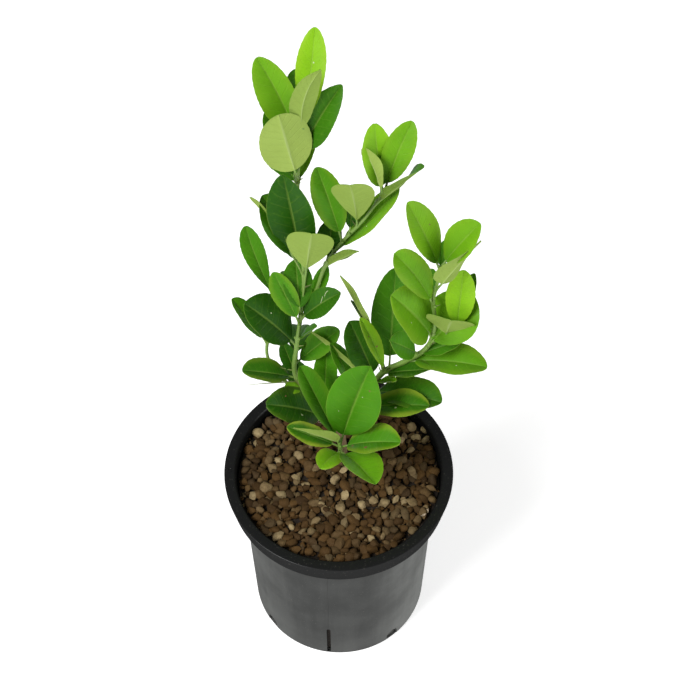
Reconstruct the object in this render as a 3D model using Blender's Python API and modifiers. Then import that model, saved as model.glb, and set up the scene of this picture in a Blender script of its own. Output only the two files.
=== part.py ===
"""A young lemon tree in a round nursery pot, with potting mix and a mulch of gravel.

The model is in metres with +Z up. The origin is the middle of the flat underside of the pot, and -Y is the
side that faces the viewer. The plant's own measures are given in millimetres and degrees, and are scaled here.
"""
import math
import random

import bmesh
import bpy
import numpy as np

MM = 0.001
GAP = 0.35 * MM

# The pot
POT_HEIGHT = 165.0 * MM
RIM_RADIUS = 82.5 * MM
LIP_INNER_RADIUS = 75.2 * MM
LIP_ROOT_RADIUS = 74.0 * MM
SKIRT_DROP = 18.4 * MM
SKIRT_RADIUS = 79.3 * MM
SKIRT_THICKNESS = 1.6 * MM
LIP_EDGE = 0.8 * MM
SKIRT_ROOT = 2.0 * MM
LIP_UNDERCUT = 0.4 * MM
SHOULDER_HEIGHT = 151.5 * MM
SHOULDER_RADIUS = 75.3 * MM
WALL_TOP_RADIUS = 75.8 * MM
WALL_SKIRT_RADIUS = 70.2 * MM
BASE_RADIUS = 66.4 * MM
BASE_CORNER = 2.5 * MM
WALL_THICKNESS = 1.7 * MM
FLOOR_THICKNESS = 2.5 * MM
POT_SIDES = 48
SLOT_COUNT = 8
SLOT_FIRST_ANGLE = -97.5
SLOT_WIDTHS = (3.0 * MM, 10.0 * MM)
SLOT_HEIGHTS = (43.0 * MM, 12.0 * MM)
SLOT_REACH = 11.0 * MM
SLOT_OVERCUT = 4.0 * MM

# The filling
SOIL_TOP = 148.0 * MM
GRAVEL_RADIUS = 73.0 * MM
GRAVEL_SHOULDER = 152.5 * MM
GRAVEL_FOOT_RADIUS = 69.4 * MM
GRAVEL_VALLEY = 155.0 * MM
STONE_SPACING = 11.8 * MM
STONE_HEIGHT = 3.2 * MM
STONE_CORNER_SCATTER = 1.3 * MM
STONE_TOP_SHARE = 0.68
STONE_CROWN = 1.3
STONE_HEIGHT_RANGE = (0.65, 1.15)
STONE_TILT = 0.25
VALLEY_SCATTER = 0.4
TRUNK_CLEARING = 0.7
EDGE_KEEP = 0.42
STONE_SEED = 11

# The wood
TRUNK_FOOT = (3.0, 20.0)
TRUNK_RADIUS = 3.8
TRUNK_END_HEIGHT = 118.0
ROOT_HOLE_RADIUS = 4.6 * MM

# Routes of the stems, in millimetres, from the foot of each to its tip
TRUNK_ROUTE = ((3, 20, TRUNK_END_HEIGHT), (3, 20, 158), (2, 21, 178))
LEFT_LIMB_ROUTE = ((2, 21, 178), (-12, 27, 200), (-22, 32, 217), (-30, 36, 234), (-28, 38, 262), (-25, 42, 287),
                   (-22, 46, 316), (-22, 54, 354), (-24, 62, 390), (-22, 68, 419), (-18, 73, 442))
RIGHT_LIMB_ROUTE = ((2, 21, 178), (12, 26, 200), (22, 30, 221), (32, 30, 243), (48, 28, 259), (60, 25, 278),
                    (64, 25, 302), (62, 28, 323), (64, 30, 339), (66, 32, 354))
SECOND_ROUTE = ((-25, 42, 287), (-18, 43, 299), (-13, 46, 316), (-7, 48, 338), (4, 50, 358), (16, 52, 374),
                (25, 55, 388), (31, 58, 397))
LEFT_SHOOT_ROUTE = ((-12, 27, 200), (-24, 34, 206), (-36, 41, 214), (-49, 48, 236), (-47, 57, 256),
                    (-42, 64, 282))
CENTRE_ROUTE = ((32, 30, 243), (28, 30, 266), (23, 34, 284))
SPUR_ROUTE = ((61, 25, 283), (70, 24, 289), (79, 24, 296))
BASAL_ROUTE = ((3, 20, 163), (3, 12, 168), (2, 4, 178), (1, 0, 190), (1, 0, 204))

# Leaves: stem, height of the foot, heading, lift, length with its stalk, width, roll, droop.
# Heading 0 points to +X and 90 to +Y, away from the viewer. Lift is the rise above level at mid leaf, and may
# pass 90. Roll turns the blade about its own length, and droop is how much the lift falls from foot to tip.
# A last item gives what is special to one leaf: the stalk's share of the length, how fast the blade widens at
# its base and narrows at its tip, its fold, and the bend of its heading and the twist of its roll on the way.
TALL_SHOOT_LEAVES = (
    ("left_limb", 436, 71.5, 62, 63.5, 18.5, 0, 10, {"bend": 14}),
    ("left_limb", 424, 134, 57, 62.5, 25, 50, 10, {"base": 0.6, "fold": 20, "bend": 18}),
    ("left_limb", 417, 93, 56, 54, 19, 0, 10),
    ("left_limb", 431, -20, 78, 61, 16, 60, 30, {"base": 0.55, "tip": 0.75}),
    ("left_limb", 419, 24, 64, 55, 21, -45, 10, {"fold": 28, "base": 0.5, "tip": 1}),
    ("left_limb", 399, -38, 105, 49.5, 33, 30, 0, {"base": 0.5, "tip": 0.55}),
    ("left_limb", 397, 133, 57, 51, 18, 0, 10),
    ("left_limb", 396, 60, 50, 38, 10, 0, 10),
    ("left_limb", 328, 133, 79, 83, 31.5, 50, 0),
    ("left_limb", 335, 148, 59, 58, 26, 20, 10),
    ("left_limb", 325, 141, 54, 66, 12, -65, 0, {"stalk": 0.3, "bend": 32}),
    ("left_limb", 303, -35, 83, 76, 30, 58, 0, {"stalk": 0.5, "base": 0.95, "tip": 0.42}),
    ("left_limb", 283, 144, 64, 45, 17, 48, 0),
    ("left_limb", 291, 110, 62, 40, 18, 0, 0),
    ("left_limb", 287, -18, 54, 49, 19, -45, 10),
    ("left_limb", 262, 168, 48, 52, 34, 10, 10),
    ("left_limb", 228, 130, 62, 32, 12, 30, 0),
    ("left_limb", 243, 15, 41, 43, 19, -20, 0),
    ("left_limb", 229, -170, 26, 42, 22, 0, 10),
    ("left_limb", 193, -165, 38, 56, 30, 20, 15),
    ("left_limb", 197, 86, 70, 58, 18, 0, 0),
    ("left_limb", 395, 112, -14, 38, 20, 0, 30),
    ("left_limb", 303, 102, -18, 42, 20, 0, 30),
    ("left_limb", 250, 84, -18, 40, 19, 0, 30),
    ("left_limb", 214, 118, -8, 36, 18, 0, 30),
)
SECOND_SHOOT_LEAVES = (
    ("second", 335, -10, 42, 30, 15, 60, 0),
    ("second", 301, 40, 66, 34, 10, -45, 0),
    ("second", 394, 115, 72, 50, 21, 5, 10, {"bend": -35, "base": 0.55}),
    ("second", 393, 126, 58, 33, 14, -85, 0, {"bend": 35}),
    ("second", 395, 44, 63, 51, 19, -30, 10),
    ("second", 387, -1, 50, 45, 19, 85, 0, {"twist": -70}),
    ("second", 348, 14, 47, 64, 19, 0, -10, {"bend": 20}),
    ("second", 357, 130, 64, 55.5, 21, 25, 10),
    ("second", 370, -143, 82, 43, 27, -45, 0, {"base": 1.1, "tip": 0.4}),
    ("second", 364, 80, 62, 31, 11, 0, 0),
    ("second", 340, 75, 60, 29, 17, 0, 0),
)
LEFT_SHOOT_LEAVES = (
    ("left_shoot", 280, 137, 60, 60, 15.5, 20, 10, {"base": 1.2, "bend": -35}),
    ("left_shoot", 246, 155, 56, 45, 16, 0, 0),
)
RIGHT_SHOOT_LEAVES = (
    ("right_limb", 203, -12, 20, 54, 24, 0, 20),
    ("right_limb", 219, -22, 15, 57, 29, 0, 20),
    ("right_limb", 230, -45, 46, 28, 9, 0, 0),
    ("right_limb", 226, 146, 26, 57, 12, -70, 0),
    ("right_limb", 208, 150, 66, 60, 17, 0, 0),
    ("right_limb", 240, -26, 36, 44, 18, 0, 0),
    ("centre", 278, 143, 58, 52, 13, -66, 0),
    ("centre", 264, -172, 60, 46, 24, 45, 0),
    ("centre", 274, 140, 52, 36, 9, -40, 0),
    ("right_limb", 250, 92, 57, 70, 30, 0, 10),
    ("centre", 245, 150, 67, 47, 16, -15, 0),
    ("right_limb", 279, 175, 60, 57, 34, 30, 10),
    ("right_limb", 268, -157, 50, 35, 19, 38, 0),
    ("right_limb", 256, -15, 13, 59, 27, 0, 20),
    ("right_limb", 266, -5, 24, 20, 11, 0, 0),
    ("spur", 295, 80, 60, 44, 20, 0, 10),
    ("spur", 290, -75, 74, 31, 32, 25, 0, {"stalk": 0.2, "base": 0.95, "tip": 0.42}),
    ("spur", 291, 38, 60, 42, 27, -30, 0),
    ("spur", 293, 52, 60, 47, 13, 0, 0),
    ("right_limb", 332, 15, 56, 48, 20, 95, 0, {"base": 0.35, "tip": 1.2, "twist": -45}),
    ("right_limb", 318, 178, 66, 60, 17, 45, 10, {"fold": 24, "tip": 0.4}),
    ("right_limb", 349, 151, 64, 58, 23, 10, 10),
    ("right_limb", 351, 60, 72, 23, 9, 0, 0),
    ("right_limb", 353, 3, 61, 46, 23, -28, 10),
    ("right_limb", 322, 103, -18, 38, 20, 0, 30),
    ("right_limb", 262, 108, -10, 44, 21, 0, 30),
    ("right_limb", 210, 96, -8, 40, 20, 0, 30),
)
BASAL_SHOOT_LEAVES = (
    ("basal", 198, 133, 54, 67, 14.5, 10, 0, {"fold": 28}),
    ("basal", 195, 40, 70, 79, 42, -60, 0),
    ("basal", 201, -165, 44, 45, 14, -70, 0, {"base": 0.5, "tip": 0.9}),
    ("basal", 195, -177, 38, 46, 16, 15, 0),
    ("basal", 187, -140, 20, 27, 18, 0, 30),
    ("basal", 187, -42, 8, 43, 29, 20, 30, {"fold": 25}),
    ("basal", 194, -19, 32, 52, 27, 0, 20),
)

# Heights at which each shoot begins, a little beyond the end of the wood that carries it
LEFT_LIMB_START = 188.0
RIGHT_LIMB_START = 188.0
BASAL_START = 169.0
SECOND_START = 299.0
LEFT_SHOOT_START = 207.0
STEM_GAP = 0.35

# First and last radius of each stem
STEM_RADII = {
    "trunk": (TRUNK_RADIUS, 3.0),
    "left_stub": (2.9, 2.5),
    "right_stub": (2.9, 2.5),
    "basal_stub": (1.7, 1.6),
    "tall_shoot": (2.5, 1.1),
    "second_stub": (1.6, 1.5),
    "left_shoot_stub": (1.6, 1.5),
    "second_shoot": (1.5, 0.9),
    "left_shoot": (1.5, 0.9),
    "right_shoot": (2.5, 1.0),
    "centre_stem": (1.5, 1.0),
    "spur_stem": (1.3, 1.1),
    "basal_shoot": (1.6, 1.2),
}
STEM_POINT_SPACING = 0.5

# The form shared by all leaves
STALK_SHARE = 0.14
STALK_WIDTH = 1.5
LEAF_THICKNESS = 0.8
RIB_EXTRA = 0.5
FOLD = 16.0
TIP_WIDTH = 2.4
EDGE_WAVE = 0.05
BLADE_STATIONS = (0.0, 0.16, 0.34, 0.54, 0.74, 0.9, 1.0)
SHAPE_RISE = 0.72
SHAPE_FALL = 0.6
ARCH = 6.0
BEND_START = 0.3


def clear_scene():
    for thing in list(bpy.data.objects):
        bpy.data.objects.remove(thing, do_unlink=True)


def new_collection(name, hidden=False):
    group = bpy.data.collections.new(name)
    bpy.context.scene.collection.children.link(group)
    group.hide_render = hidden
    return group


def material(name, colour, roughness, metallic=0.0):
    finish = bpy.data.materials.new(name)
    finish.use_nodes = True
    shader = finish.node_tree.nodes["Principled BSDF"]
    shader.inputs["Base Color"].default_value = (*colour, 1.0)
    shader.inputs["Roughness"].default_value = roughness
    shader.inputs["Metallic"].default_value = metallic
    return finish


def pot_material():
    return material("black_pot_plastic", (0.035, 0.037, 0.039), 0.45)


def soil_material():
    return material("potting_mix", (0.05, 0.032, 0.02), 0.95)


def gravel_material():
    return material("brown_gravel", (0.22, 0.14, 0.085), 0.85)


def bark_material():
    return material("bark", (0.27, 0.19, 0.10), 0.8)


def leaf_material(name, colour):
    return material(name, colour, 0.4)


def mesh_object(name, mesh, group, finish):
    mesh.name = name
    thing = bpy.data.objects.new(name, mesh)
    group.objects.link(thing)
    if finish:
        mesh.materials.clear()
        mesh.materials.append(finish)
    return thing


def shade(thing, angle=35.0):
    thing.data.shade_smooth()
    thing.data.set_sharp_from_angle(angle=math.radians(angle))


def turned(name, profile, group, finish):
    """A profile of (radius, height) points turned about Z. It starts and ends on the axis."""
    mesh = bpy.data.meshes.new(name)
    points = [(radius, 0.0, height) for radius, height in profile]
    edges = [(i, i + 1) for i in range(len(points) - 1)]
    mesh.from_pydata(points, edges, [])
    thing = mesh_object(name, mesh, group, finish)
    screw = thing.modifiers.new("turn", "SCREW")
    screw.axis = "Z"
    screw.steps = POT_SIDES
    screw.render_steps = POT_SIDES
    screw.use_merge_vertices = True
    screw.merge_threshold = 0.00001
    return thing


def applied(thing):
    """The object's evaluated mesh takes the place of its modifiers."""
    bpy.context.view_layer.update()
    graph = bpy.context.evaluated_depsgraph_get()
    mesh = bpy.data.meshes.new_from_object(thing.evaluated_get(graph))
    thing.modifiers.clear()
    thing.data = mesh
    return thing


def inner_wall_radius(height):
    """Inside radius of the pot's wall at a height."""
    low = FLOOR_THICKNESS + BASE_CORNER
    low_radius = BASE_RADIUS - WALL_THICKNESS
    high = POT_HEIGHT - SKIRT_DROP
    high_radius = WALL_SKIRT_RADIUS - WALL_THICKNESS
    return low_radius + (high_radius - low_radius) * (height - low) / (high - low)


def pot_profile():
    top = POT_HEIGHT
    skirt = POT_HEIGHT - SKIRT_DROP
    under_lip = POT_HEIGHT - SKIRT_THICKNESS
    inner_base = BASE_RADIUS - WALL_THICKNESS
    return (
        (0.0, FLOOR_THICKNESS),
        (inner_base - BASE_CORNER, FLOOR_THICKNESS),
        (inner_base, FLOOR_THICKNESS + BASE_CORNER),
        (WALL_SKIRT_RADIUS - WALL_THICKNESS, skirt),
        (SHOULDER_RADIUS - WALL_THICKNESS, SHOULDER_HEIGHT),
        (LIP_ROOT_RADIUS, under_lip),
        (LIP_INNER_RADIUS, top),
        (RIM_RADIUS - LIP_EDGE, top),
        (RIM_RADIUS, top - LIP_EDGE),
        (SKIRT_RADIUS, skirt),
        (SKIRT_RADIUS - SKIRT_THICKNESS, skirt),
        (RIM_RADIUS - SKIRT_ROOT, under_lip - LIP_UNDERCUT),
        (WALL_TOP_RADIUS, under_lip - LIP_UNDERCUT),
        (SHOULDER_RADIUS, SHOULDER_HEIGHT),
        (WALL_SKIRT_RADIUS, skirt),
        (BASE_RADIUS, BASE_CORNER),
        (BASE_RADIUS - BASE_CORNER, 0.0),
        (0.0, 0.0),
    )


def slot_cutter(group):
    """Blocks that open the drainage slots at the foot of the wall, tall and low ones in turn."""
    mesh = bpy.data.meshes.new("slot_cutter")
    bm = bmesh.new()
    for index in range(SLOT_COUNT):
        angle = math.radians(SLOT_FIRST_ANGLE + index * 360.0 / SLOT_COUNT)
        block = bmesh.ops.create_cube(bm, size=1.0)["verts"]
        width, height = SLOT_WIDTHS[index % 2], SLOT_HEIGHTS[index % 2]
        size = (SLOT_REACH + SLOT_OVERCUT, width, height + SLOT_OVERCUT)
        middle = BASE_RADIUS + (SLOT_OVERCUT - SLOT_REACH) / 2
        bmesh.ops.scale(bm, verts=block, vec=size)
        bmesh.ops.translate(bm, verts=block, vec=(middle, 0.0, (height - SLOT_OVERCUT) / 2))
        turn = ((math.cos(angle), -math.sin(angle), 0), (math.sin(angle), math.cos(angle), 0), (0, 0, 1))
        for vert in block:
            vert.co = [sum(turn[row][k] * vert.co[k] for k in range(3)) for row in range(3)]
    bm.to_mesh(mesh)
    bm.free()
    cutter = mesh_object("slot_cutter", mesh, group, None)
    cutter.hide_render = True
    cutter.display_type = "WIRE"
    return cutter


def build_pot(parts, cutters):
    pot = turned("pot", tuple(reversed(pot_profile())), parts, pot_material())
    slots = pot.modifiers.new("slots", "BOOLEAN")
    slots.operation = "DIFFERENCE"
    slots.object = slot_cutter(cutters)
    return pot


def build_soil(parts, cutters):
    foot = FLOOR_THICKNESS + GAP
    corner = FLOOR_THICKNESS + BASE_CORNER + GAP
    profile = (
        (0.0, SOIL_TOP),
        (inner_wall_radius(SOIL_TOP) - 2 * GAP, SOIL_TOP),
        (inner_wall_radius(corner) - 2 * GAP, corner),
        (inner_wall_radius(corner) - BASE_CORNER - 2 * GAP, foot),
        (0.0, foot),
    )
    soil = turned("soil", profile, parts, soil_material())
    bpy.ops.mesh.primitive_cylinder_add(vertices=16, radius=ROOT_HOLE_RADIUS, depth=2 * POT_HEIGHT)
    hole = bpy.context.active_object
    hole.name = "root_hole_cutter"
    low = TRUNK_END_HEIGHT * MM - GAP
    hole.location = (TRUNK_FOOT[0] * MM, TRUNK_FOOT[1] * MM, low + POT_HEIGHT)
    hole.hide_render = True
    hole.display_type = "WIRE"
    for group in list(hole.users_collection):
        group.objects.unlink(hole)
    cutters.objects.link(hole)
    socket = soil.modifiers.new("root_hole", "BOOLEAN")
    socket.operation = "DIFFERENCE"
    socket.object = hole
    return soil


def stone_cells():
    """Centres and six corners of a honeycomb of stones round the trunk, inside the gravel's edge."""
    step = STONE_SPACING
    reach = int(2.6 * GRAVEL_RADIUS / step)
    keep = GRAVEL_RADIUS - EDGE_KEEP * step
    cells = []
    for row in range(-reach, reach + 1):
        for column in range(-reach, reach + 1):
            x = TRUNK_FOOT[0] * MM + step * (column + 0.5 * (row % 2))
            y = TRUNK_FOOT[1] * MM + step * math.sqrt(0.75) * row
            at_trunk = row == 0 and column == 0
            if math.hypot(x, y) > keep or at_trunk:
                continue
            corners = []
            for k in range(6):
                angle = math.radians(30 + 60 * k)
                corner = (x + step / math.sqrt(3) * math.cos(angle), y + step / math.sqrt(3) * math.sin(angle))
                corners.append(corner)
            cells.append(corners)
    return cells


def gravel_surface(bm, draw):
    """The stones as low facetted mounds that share their valleys. Returns the rim of the surface."""
    cells = stone_cells()
    count = {}
    for corners in cells:
        for x, y in corners:
            key = (round(x / MM, 1), round(y / MM, 1))
            count[key] = count.get(key, 0) + 1
    verts = {}
    for corners in cells:
        for x, y in corners:
            key = (round(x / MM, 1), round(y / MM, 1))
            if key in verts:
                continue
            from_trunk = math.hypot(x - TRUNK_FOOT[0] * MM, y - TRUNK_FOOT[1] * MM)
            beside_trunk = from_trunk < TRUNK_CLEARING * STONE_SPACING
            if count[key] < 3 and not beside_trunk:
                stretch = GRAVEL_RADIUS / math.hypot(x, y)
                place = (x * stretch, y * stretch, GRAVEL_VALLEY)
            elif beside_trunk:
                place = (x, y, GRAVEL_VALLEY)
            else:
                scatter = [draw.uniform(-1, 1) * STONE_CORNER_SCATTER for _ in range(3)]
                place = (x + scatter[0], y + scatter[1], GRAVEL_VALLEY + VALLEY_SCATTER * scatter[2])
            verts[key] = bm.verts.new(place)
    for corners in cells:
        ring = [verts[(round(x / MM, 1), round(y / MM, 1))] for x, y in corners]
        middle = sum((np.array(vert.co) for vert in ring), np.zeros(3)) / 6
        height = STONE_HEIGHT * draw.uniform(*STONE_HEIGHT_RANGE)
        tilt = [draw.uniform(-STONE_TILT, STONE_TILT) for _ in range(2)]
        top = []
        for vert in ring:
            out = np.array(vert.co) - middle
            place = middle + STONE_TOP_SHARE * out
            place[2] = middle[2] + height + tilt[0] * out[0] + tilt[1] * out[1]
            top.append(bm.verts.new(place))
        crown = bm.verts.new((middle[0], middle[1], middle[2] + STONE_CROWN * height))
        for k in range(6):
            after = (k + 1) % 6
            bm.faces.new((ring[k], ring[after], top[after]))
            bm.faces.new((ring[k], top[after], top[k]))
            bm.faces.new((top[k], top[after], crown))


def ring_below(bm, rim, shrink, height):
    """A copy of the rim's vertices at another height, closer to the axis by a share."""
    verts = {vert for edge in rim for vert in edge.verts}
    ordered = sorted(verts, key=lambda vert: math.atan2(vert.co.y, vert.co.x))
    return {vert: bm.verts.new((vert.co.x * shrink, vert.co.y * shrink, height)) for vert in ordered}


def build_gravel(parts):
    draw = random.Random(STONE_SEED)
    bm = bmesh.new()
    gravel_surface(bm, draw)
    rim = [edge for edge in bm.edges if edge.is_boundary]
    shoulder = ring_below(bm, rim, 1.0, GRAVEL_SHOULDER)
    foot = ring_below(bm, rim, GRAVEL_FOOT_RADIUS / GRAVEL_RADIUS, SOIL_TOP + GAP)
    floor_edges = []
    for edge in rim:
        first, second = edge.verts
        for near, far in (({first: first, second: second}, shoulder), (shoulder, foot)):
            bm.faces.new((near[first], near[second], far[second]))
            bm.faces.new((near[first], far[second], far[first]))
        floor_edges.append(bm.edges.get((foot[first], foot[second])))
    bmesh.ops.triangle_fill(bm, use_beauty=True, use_dissolve=False, edges=floor_edges)
    bmesh.ops.recalc_face_normals(bm, faces=bm.faces)
    mesh = bpy.data.meshes.new("gravel")
    bm.to_mesh(mesh)
    bm.free()
    return mesh_object("gravel", mesh, parts, gravel_material())


def smooth_route(points, steps=4):
    """A smooth curve through the points, with a fixed count of steps between each pair."""
    p = np.array(points, float)
    p = np.vstack([2 * p[0] - p[1], p, 2 * p[-1] - p[-2]])
    out = []
    for i in range(1, len(p) - 2):
        before, here, there, beyond = p[i - 1], p[i], p[i + 1], p[i + 2]
        for k in range(steps):
            t = k / steps
            linear = (there - before) * t
            square = (2 * before - 5 * here + 4 * there - beyond) * t * t
            cube = (3 * here - before - 3 * there + beyond) * t ** 3
            out.append(0.5 * (2 * here + linear + square + cube))
    out.append(p[-2])
    return np.array(out)


ROUTES = {
    "trunk": smooth_route(TRUNK_ROUTE),
    "left_limb": smooth_route(LEFT_LIMB_ROUTE),
    "right_limb": smooth_route(RIGHT_LIMB_ROUTE),
    "second": smooth_route(SECOND_ROUTE),
    "left_shoot": smooth_route(LEFT_SHOOT_ROUTE),
    "centre": smooth_route(CENTRE_ROUTE),
    "spur": smooth_route(SPUR_ROUTE),
    "basal": smooth_route(BASAL_ROUTE),
}


def point_at(stem, height):
    route = ROUTES[stem]
    return np.array([np.interp(height, route[:, 2], route[:, axis]) for axis in range(3)])


def route_between(stem, low=None, high=None):
    """The part of a stem between two heights, with its ends on the route."""
    route = ROUTES[stem]
    low = route[0, 2] if low is None else low
    high = route[-1, 2] if high is None else high
    inside = [p for p in route if low + STEM_POINT_SPACING < p[2] < high - STEM_POINT_SPACING]
    return np.array([point_at(stem, low), *inside, point_at(stem, high)])


def just_above(stem, height):
    """The height at which a shoot begins, a small gap along its route from the wood that ends below."""
    ahead = point_at(stem, height + 1.0) - point_at(stem, height)
    return height + STEM_GAP * ahead[2] / np.linalg.norm(ahead)


def tube(name, route, group, sides_setting=1):
    """A tapered round stem along a route in millimetres, as a closed mesh."""
    first_radius, last_radius = STEM_RADII[name]
    curve = bpy.data.curves.new(name, "CURVE")
    curve.dimensions = "3D"
    curve.bevel_depth = 1.0 * MM
    curve.bevel_resolution = sides_setting
    curve.use_fill_caps = True
    spline = curve.splines.new("POLY")
    spline.points.add(len(route) - 1)
    for index, place in enumerate(route):
        share = index / (len(route) - 1)
        spline.points[index].co = (*(place * MM), 1.0)
        spline.points[index].radius = first_radius + (last_radius - first_radius) * share
    line = bpy.data.objects.new(name + "_line", curve)
    group.objects.link(line)
    bpy.context.view_layer.update()
    graph = bpy.context.evaluated_depsgraph_get()
    mesh = bpy.data.meshes.new_from_object(line.evaluated_get(graph))
    bpy.data.objects.remove(line, do_unlink=True)
    bm = bmesh.new()
    bm.from_mesh(mesh)
    bmesh.ops.remove_doubles(bm, verts=bm.verts, dist=0.01 * MM)
    bmesh.ops.recalc_face_normals(bm, faces=bm.faces)
    bm.to_mesh(mesh)
    bm.free()
    return mesh_object(name, mesh, group, None)


def half_width(share, width, rise, fall):
    """Half the blade's width at a share of its length: narrow at the stalk, widest past the middle, blunt."""
    peak = rise / (rise + fall)
    full = peak ** rise * (1 - peak) ** fall
    return 0.5 * width * share ** rise * (1 - share) ** fall / full


def leaf_frame(heading, lift, roll):
    """Directions along a leaf, across it and up from it."""
    turn, climb, spin = math.radians(heading), math.radians(lift), math.radians(roll)
    ahead = np.array([math.cos(climb) * math.cos(turn), math.cos(climb) * math.sin(turn), math.sin(climb)])
    side = np.array([math.sin(turn), -math.cos(turn), 0.0])
    normal = np.cross(side, ahead)
    across = math.cos(spin) * side + math.sin(spin) * normal
    up = math.cos(spin) * normal - math.sin(spin) * side
    return ahead, across, up


def leaf_section(middle, across, up, half, fold):
    """Six points of one cross-section of a folded blade with a rib below."""
    edge = half * math.cos(fold) * across
    raised = half * math.sin(fold) * up
    thick = LEAF_THICKNESS / 2 * up
    rib = (LEAF_THICKNESS / 2 + RIB_EXTRA) * up
    return [
        middle - edge + raised + thick,
        middle + thick,
        middle + edge + raised + thick,
        middle + edge + raised - thick,
        middle - rib,
        middle - edge + raised - thick,
    ]


def leaf_sections(stem, height, heading, lift, length, width, roll, droop, own=None):
    """The cross-sections of a leaf from the stalk's foot in the stem to the tip."""
    own = own or {}
    stalk = own.get("stalk", STALK_SHARE)
    fold = math.radians(own.get("fold", FOLD))
    stations = [0.0] + [stalk + (1 - stalk) * share for share in BLADE_STATIONS]
    middle = point_at(stem, height)
    sections = []
    before = 0.0
    for index, share in enumerate(stations):
        at = (share + before) / 2
        bend = own.get("bend", 0.0) * (at - BEND_START)
        ahead, _, _ = leaf_frame(heading + bend, lift + (droop + ARCH) * (0.5 - at), roll)
        middle = middle + ahead * length * (share - before)
        before = share
        bend = own.get("bend", 0.0) * (share - BEND_START)
        spin = roll + own.get("twist", 0.0) * share
        _, across, up = leaf_frame(heading + bend, lift + (droop + ARCH) * (0.5 - share), spin)
        blade_share = BLADE_STATIONS[index - 1] if index else 0.0
        half = half_width(blade_share, width, own.get("base", SHAPE_RISE), own.get("tip", SHAPE_FALL))
        half *= 1 + EDGE_WAVE * (-1) ** index
        half = max(half, STALK_WIDTH / 2 if index < 2 else TIP_WIDTH / 2)
        sections.append(leaf_section(middle, across, up, half, fold))
    return sections


def leaf(name, values, group):
    """One leaf with its stalk, a loft through its sections with the same triangles on both faces."""
    sections = leaf_sections(*values)
    bm = bmesh.new()
    rings = [[bm.verts.new(point * MM) for point in section] for section in sections]
    for near, far in zip(rings[:-1], rings[1:]):
        for k, mirrored in ((0, False), (1, True), (2, False), (3, True), (4, False), (5, False)):
            after = (k + 1) % 6
            a, b, c, d = near[k], near[after], far[after], far[k]
            if mirrored:
                bm.faces.new((a, b, d))
                bm.faces.new((b, c, d))
            else:
                bm.faces.new((a, b, c))
                bm.faces.new((a, c, d))
    for ring in (rings[0], rings[-1]):
        bm.faces.new((ring[0], ring[1], ring[4]))
        bm.faces.new((ring[0], ring[4], ring[5]))
        bm.faces.new((ring[1], ring[2], ring[3]))
        bm.faces.new((ring[1], ring[3], ring[4]))
    bmesh.ops.recalc_face_normals(bm, faces=bm.faces)
    mesh = bpy.data.meshes.new(name)
    bm.to_mesh(mesh)
    bm.free()
    return mesh_object(name, mesh, group, None)


def fuse(name, body, others, parts, finish):
    """One body from a stem and what grows on it."""
    group = new_collection(name + "_growth")
    for thing in others:
        for old in list(thing.users_collection):
            old.objects.unlink(thing)
        group.objects.link(thing)
    join = body.modifiers.new("join", "BOOLEAN")
    join.operation = "UNION"
    join.operand_type = "COLLECTION"
    join.collection = group
    join.solver = "MANIFOLD"
    applied(body)
    for thing in list(group.objects):
        bpy.data.objects.remove(thing, do_unlink=True)
    bpy.data.collections.remove(group)
    body.name = name
    body.data.name = name
    body.data.materials.clear()
    body.data.materials.append(finish)
    return body


def build_trunk(parts):
    body = tube("trunk", ROUTES["trunk"], parts, 2)
    limbs = [
        tube("left_stub", route_between("left_limb", high=LEFT_LIMB_START), parts),
        tube("right_stub", route_between("right_limb", high=RIGHT_LIMB_START), parts),
        tube("basal_stub", route_between("basal", high=BASAL_START), parts),
    ]
    return fuse("trunk", body, limbs, parts, bark_material())


def build_tall_shoot(parts):
    start = just_above("left_limb", LEFT_LIMB_START)
    body = tube("tall_shoot", route_between("left_limb", low=start), parts)
    growth = [
        tube("second_stub", route_between("second", high=SECOND_START), parts),
        tube("left_shoot_stub", route_between("left_shoot", high=LEFT_SHOOT_START), parts),
    ]
    growth += [leaf("tall_leaf", values, parts) for values in TALL_SHOOT_LEAVES]
    finish = leaf_material("deep_green_leaf", (0.07, 0.20, 0.025))
    return fuse("tall_shoot", body, growth, parts, finish)


def build_second_shoot(parts):
    start = just_above("second", SECOND_START)
    body = tube("second_shoot", route_between("second", low=start), parts)
    growth = [leaf("second_leaf", values, parts) for values in SECOND_SHOOT_LEAVES]
    finish = leaf_material("mid_green_leaf", (0.12, 0.29, 0.035))
    return fuse("second_shoot", body, growth, parts, finish)


def build_left_shoot(parts):
    start = just_above("left_shoot", LEFT_SHOOT_START)
    body = tube("left_shoot", route_between("left_shoot", low=start), parts)
    growth = [leaf("left_leaf", values, parts) for values in LEFT_SHOOT_LEAVES]
    finish = leaf_material("olive_green_leaf", (0.10, 0.24, 0.03))
    return fuse("left_shoot", body, growth, parts, finish)


def build_right_shoot(parts):
    start = just_above("right_limb", RIGHT_LIMB_START)
    body = tube("right_shoot", route_between("right_limb", low=start), parts)
    growth = [
        tube("centre_stem", ROUTES["centre"], parts),
        tube("spur_stem", ROUTES["spur"], parts),
    ]
    growth += [leaf("right_leaf", values, parts) for values in RIGHT_SHOOT_LEAVES]
    finish = leaf_material("bright_green_leaf", (0.17, 0.38, 0.045))
    return fuse("right_shoot", body, growth, parts, finish)


def build_basal_shoot(parts):
    start = just_above("basal", BASAL_START)
    body = tube("basal_shoot", route_between("basal", low=start), parts)
    growth = [leaf("basal_leaf", values, parts) for values in BASAL_SHOOT_LEAVES]
    finish = leaf_material("fresh_green_leaf", (0.14, 0.33, 0.05))
    return fuse("basal_shoot", body, growth, parts, finish)


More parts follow.
